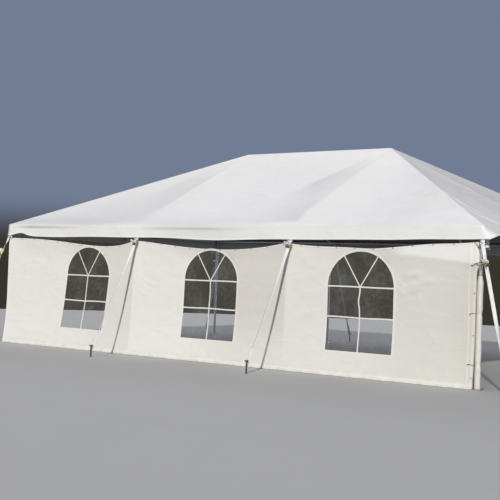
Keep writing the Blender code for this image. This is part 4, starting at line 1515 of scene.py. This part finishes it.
def makeGuy(name, node, tabX, ringX, side, stakeX, ratchetAt, corner=False):
    # One guy line, on the front (side -1) or back (side 1), from a side leg or a corner. Its
    # ratchet starts a distance down the strap from the upper ring.
    look = guyLook
    depth, head = look["strapDepth"], look["stakeHead"]
    stakeY = side * (max(abs(lowCorner(node)[1]), abs(highCorner(node)[1])) - head)
    level = np.array((1.0, 0.0, 0.0))
    ring = np.array((ringX, side * (legY + look["ringOut"]), valanceFoot - look["ringDrop"]))
    foot = np.array((stakeX, stakeY, look["strapFoot"]))
    along = unit(foot - ring)
    across = unit(np.cross((0, 0, 1), along))
    face = np.cross(along, across)
    face = face * np.sign(face[2])

    # The tab: round the eave tube or off the hub, down inside the valance, out to the ring.
    hold = frameSizes["hub" if corner else "sleeve"] + look["seat"] + depth / 2
    turn = look["hubTurn" if corner else "tabTurn"]
    wrap = wrapped((tabX, side * legY, eaveZ), (0, side, 0), hold, turn, 0)
    fall = [
        (tabX + (ringX - tabX) * share, side * (legY + hold), z)
        for share, z in ((0.2, eaveZ - 0.05), (0.5, eaveZ - 0.12), (0.9, valanceFoot - 0.004))
    ]
    fall += [ring + (0, -side * 0.004, 0.016), ring + (0, side * 0.004, 0.006)]
    path = np.concatenate((wrap, throughPoints(fall, 34)))
    # the tab's end is folded back over the ring and sewn
    back = path[[-2, -6, -11]] + (0, side * (look["seam"] + 0.0001), 0)
    webbing = [strapBand(path, level), strapBand(throughPoints(back, 12), level, look["sewn"])]

    # The strap: from the ring through the ratchet to the ring at its foot, with a twist.
    end = foot - along * look["lastRing"]
    share = np.linspace(0, 1, 72)[:, None]
    line = ring + (end - ring) * share - np.array((0, 0, look["sag"])) * 4 * share * (1 - share)
    start = ratchetAt / np.linalg.norm(end - ring)
    turnOff = ramp(share, start * 0.1, start * 0.9)
    if corner:
        twist = -look["twist"] * ramp(share, start + 0.04, start + 0.14)
        twist = twist * (1 - 1.75 * ramp(share, 0.42, 0.75))
        twist = twist * (1 - ramp(share, 0.88, 1))
    else:
        twist = np.interp(share, look["turnAt"], look["turns"])
    flat = level * np.sign(level @ across)
    strapSide = unit(flat * (1 - turnOff) + across * turnOff)
    strapSide = strapSide * np.cos(twist) - face * np.sin(twist)
    sewn = line[-9:] + face * (look["seam"] - 0.0002)
    webbing += [strapBand(line, strapSide), strapBand(sewn, across, look["sewn"])]
    at = ring + along * ratchetAt
    bow, aside = look["cornerBow" if corner else "sideBow"]
    webbing += makeRatchet(name, at, along, across, face, bow, aside * np.sign(across[0]))
    strap = makePiece(f"{name}Strap", webbing, cloth["guyWebbing"], angle=50)
    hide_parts(node)
    steelPiece(f"{name}Rings", [
        dRing(ring, level, unit(along + (0, 0, -1)), *look["tabRing"]),
        dRing(end + along * 0.006, across, along, *look["strapRing"]),
        dRing(foot - along * 0.012, along, face, *look["stakeRing"]),
    ])

    r, top = look["stake"], look["stakeTop"]
    outline = [
        (0, 0.001), (r, 0.001), (r * 1.02, 0.06), (r, 0.11), (r, top - 0.022),
        (head * 0.80, top - 0.018), (head, top - 0.012), (head * 0.97, top - 0.005),
        (head * 0.70, top - 0.001), (0, top),
    ]
    stake = turned((stakeX, stakeY, 0), (0, 0, 1), outline, 24)
    makePiece(f"{name}Stake", [stake], metal["stakeIron"], angle=30)
    return at + along * ratchetLook["length"] / 2


def makeSpareTab(name, sx, sy):
    # an unused tab on the corner's end side: round the socket, then down to its own ring,
    # turned towards the long side
    look = guyLook
    hold = frameSizes["sleeve"] + look["seat"] + look["strapDepth"] / 2
    y, foot = sy * (legY - look["spareAt"]), look["spareFoot"]
    wrap = wrapped((sx * legX, y, eaveZ), (sx, 0, 0), hold, look["tabTurn"], 0)
    fall = [(sx * (legX + hold), y, z) for z in (eaveZ - 0.04, (eaveZ + foot) / 2, foot + 0.03)]
    fall.append((sx * (legX + hold + 0.004), y, foot + 0.006))
    path = np.concatenate((wrap, throughPoints(fall, 30)))
    spun = look["spareTurn"] * ramp(path[:, 2], eaveZ - 0.05, foot + 0.05)
    width = joined(sx * np.sin(spun), -sy * np.cos(spun), 0)
    level = width[-1]
    outer = np.cross(level, (0, 0, 1.0))
    back = path[[-2, -6, -9]] + outer * np.sign(outer[0] * sx) * look["seam"]
    webbing = [strapBand(path, width), strapBand(throughPoints(back, 12), level, look["sewn"])]
    makePiece(f"{name}Tab", webbing, cloth["guyWebbing"], angle=50)
    centre = (sx * (legX + hold + 0.004), y, foot)
    hoop = dRing(centre, level, np.array((0, 0, 1.0)), *look["spareRing"])
    steelPiece(f"{name}TabRing", [hoop])


ratchets = {}
for sx, end in ((-1, "left"), (1, "right")):
    for sy, side in ((-1, "front"), (1, "back")):
        name = f"{side.capitalize()}{end.capitalize()}"
        legAt = middleOf(f"leg_{side}_{end}_side")[0]
        tabAt = legAt + guyLook["tabShift"]
        makeGuy(
            f"guy{name}Side", f"guy_{side}_{end}_side", tabAt, tabAt, sy, legAt,
            guyLook["sideRatchet"],
        )
        legAt = middleOf(f"leg_{side}_{end}_corner")[0]
        ringAt = legAt + sx * guyLook["ringAsideKicked" if sx > 0 else "ringAside"]
        ratchets[side, end] = makeGuy(
            f"guy{name}Corner", f"guy_{side}_{end}_corner", legAt, ringAt, sy,
            legAt + sx * guyLook["cornerOut"], guyLook["cornerRatchet"], corner=True,
        )
        makeSpareTab(f"spare{name}", sx, sy)
print("guy lines made")


# Rope at the wall's right head, tied to the leg and to the ratchet

cornerLook = {
    # eyelets as x, z, and how far in front of the wall the rope starts
    "high": (4.478, 1.915, 0.005), "near": (4.505, 1.905, 0.005), "low": (4.430, 1.622, 0.006),
    "legHeight": 1.845, "legAside": (-0.012, -0.036, 0),   # where the ties meet at the leg
    "ring": 0.005, "ringTilt": 0.006,   # the ring round the leg, off its tube
    "thin": 0.0034, "middle": 0.0040, "thick": 0.0052,     # radii of the ropes
    "slant": (0.2, 1, 0.1),
    "knot": (-0.030, -0.024, 0.012),    # from the ratchet's middle
    # each winding's place from the knot, its radius and its axis
    "windings": (
        ((0, 0, 0.016), 0.030, (0.30, -0.20, -1)),
        ((0.010, 0, -0.006), 0.027, (-0.35, 0.1, -1)),
        ((0.004, -0.004, -0.026), 0.026, (0.5, -0.3, -1)),
        ((0, 0, 0), 0.033, (1, 0.7, -0.4)),
    ),
    "winding": 0.0062, "windingTilt": 0.010,
    "tail": ((0.030, -0.03, -0.01), (0.052, -0.03, -0.045), (0.058, -0.02, -0.085)),
    "tailRope": 0.0050,
}


def makeCornerRope(look):
    # Ties that slant from the wall's head to a ring round the leg, and a thick one from its
    # seam to the ratchet, where more of it is wound in tilted rings. Each tie is a curve
    # through its points.
    knot = ratchets["front", "right"] + look["knot"]
    high, near, low = (onWall(*look[key]) for key in ("high", "near", "low"))
    centre = np.array((legX, -legY, look["legHeight"]))
    leg = centre + look["legAside"]
    thin = look["thin"]
    surfaces = [ropeRing(centre, frameSizes["tube"] + look["ring"], thin, look["ringTilt"])]
    for radius, *points in (
        (thin, high, high + (0.036, -0.012, -0.044), leg),
        (thin, near, near + (0.014, -0.012, -0.030), leg),
        (look["middle"], leg + (-0.006, 0.004, 0.06), leg + (-0.008, -0.004, 0.02), leg),
        (look["thick"], low, low + (0.035, -0.014, -0.006), low + (0.080, -0.020, 0.022), knot),
    ):
        surfaces.append(rope(points, 26, radius, look["slant"]))
    makePiece("cornerRope", surfaces, cloth["tieRope"])
    windings = [
        ropeRing(knot + aside, radius, look["winding"], look["windingTilt"], axis)
        for aside, radius, axis in look["windings"]
    ]
    windings.append(rope(knot + np.array(look["tail"]), 18, look["tailRope"], look["slant"]))
    makePiece("cornerKnot", windings, cloth["oldRope"])


makeCornerRope(cornerLook)


# Frame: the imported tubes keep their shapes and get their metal, with bolts at each socket

fixLook = {
    "bolt": 0.0045, "boltFrom": 0.112,   # its radius, and its place from the joint
    "boltOut": 0.006,       # of its ends from the socket
    "pinShift": 0.052,
    "pin": (
        (0, 0.0085), (0.011, 0.0085), (0.013, 0.012), (0.012, 0.017), (0.007, 0.020),
        (0, 0.021),
    ),
    "spacing": 0.762, "clearOfLegs": 0.2, "strap": (0.025, 0.0018), "buckle": (0.034, 0.026),
}


def boltAt(centre, axis, radius, reach):
    # a round shank with a six-sided head at one end and a nut at the other
    parts = [((0, -reach), (radius, -reach), (radius, reach), (0, reach), 10)]
    for sign in (-1, 1):
        a, b = sorted((sign * reach * 0.86, sign * (reach - 0.001)))
        parts.append(((0, a), (radius * 2.0, a), (radius * 2.0, b), (0, b), 6))
    return [turned(centre, axis, outline, sides) for *outline, sides in parts]


def makeFrameBolts():
    # one bolt through every socket, squared to it
    level = np.eye(3)
    joints = []

    def brace(low, crown):
        along = unit(crown - low)
        joints.extend([(low, along), (crown, -along)])

    for sx in (-1, 1):
        crown = np.array((sx * ridgeX, 0, eaveZ + slope * legY))
        for sy in (-1, 1):
            corner = np.array((sx * legX, sy * legY, eaveZ))
            joints += [(corner, (-sx, 0, 0)), (corner, (0, -sy, 0)), (corner, (0, 0, -1))]
            brace(corner, crown)
            tee = np.array((sx * sideLegX, sy * legY, eaveZ))
            joints += [(tee, (1, 0, 0)), (tee, (-1, 0, 0)), (tee, (0, 0, -1))]
            brace(tee, crown)
        tee = np.array((sx * legX, 0, eaveZ))
        joints += [(tee, (0, 1, 0)), (tee, (0, -1, 0)), (tee, (0, 0, -1))]
        brace(tee, crown)
        joints.append((crown, (-sx, 0, 0)))
    surfaces = []
    reach = frameSizes["sleeve"] + fixLook["boltOut"]
    for joint, along in joints:
        along = np.asarray(along, float)
        aside = unit(np.cross(along, level[2])) if abs(along[2]) < 0.9 else level[0]
        centre = joint + along * fixLook["boltFrom"]
        surfaces += boltAt(centre, aside, fixLook["bolt"], reach)
    steelPiece("frameBolts", surfaces, angle=30)


def makeFootStakes():
    # two round-headed pins through each base plate
    surfaces = []
    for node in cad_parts:
        if node.startswith("leg_") and "cover" not in node:
            x, y = middleOf(node)[:2]
            for shift in (fixLook["pinShift"], -fixLook["pinShift"]):
                centre = (x + shift, y + shift, 0)
                surfaces.append(turned(centre, (0, 0, 1), fixLook["pin"], 14))
    steelPiece("plateStakes", surfaces, "stakeIron")


def makeCanopyStraps():
    # short webbing loops that hold the canopy's edge to the eave tubes, with a buckle on each
    look = fixLook
    straps, buckles = [], []
    hold = frameSizes["tube"] + 0.002
    for axis, half, length, legs in ((0, legY, legX, sideLegX), (1, legX, legY, 0)):
        count = int(round(2 * length / look["spacing"]))
        stops = (np.arange(count) + 0.5) / count * 2 * length - length
        wide, outward = np.eye(3)[[axis, 1 - axis]]
        for sign in (-1, 1):
            for stop in stops[np.abs(np.abs(stops) - legs) >= look["clearOfLegs"]]:
                centre = stop * wide + sign * half * outward + (0, 0, eaveZ)
                path = wrapped(centre, sign * outward, hold, 60, -250, 28)
                straps.append(carry(path, flatProfile(*look["strap"]), wide))
                ends = path[np.argmin(path[:, 2])] - np.array(((0, 0, 0.0005), (0, 0, 0.0045)))
                buckles.append(carry(ends, flatProfile(*look["buckle"], 0.3), wide))
    makePiece("canopyStraps", straps, cloth["guyWebbing"])
    steelPiece("canopyBuckles", buckles)


makeFrameBolts()
makeFootStakes()
makeCanopyStraps()
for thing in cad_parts.values():
    if not thing.hide_render:
        thing.data.materials.clear()
        thing.data.materials.append(metal["frameAluminium"])
print("frame dressed")

boxes = {"cad": cadBox, "visual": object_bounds()}
{name: [list(corner) for corner in box] for name, box in boxes.items()}
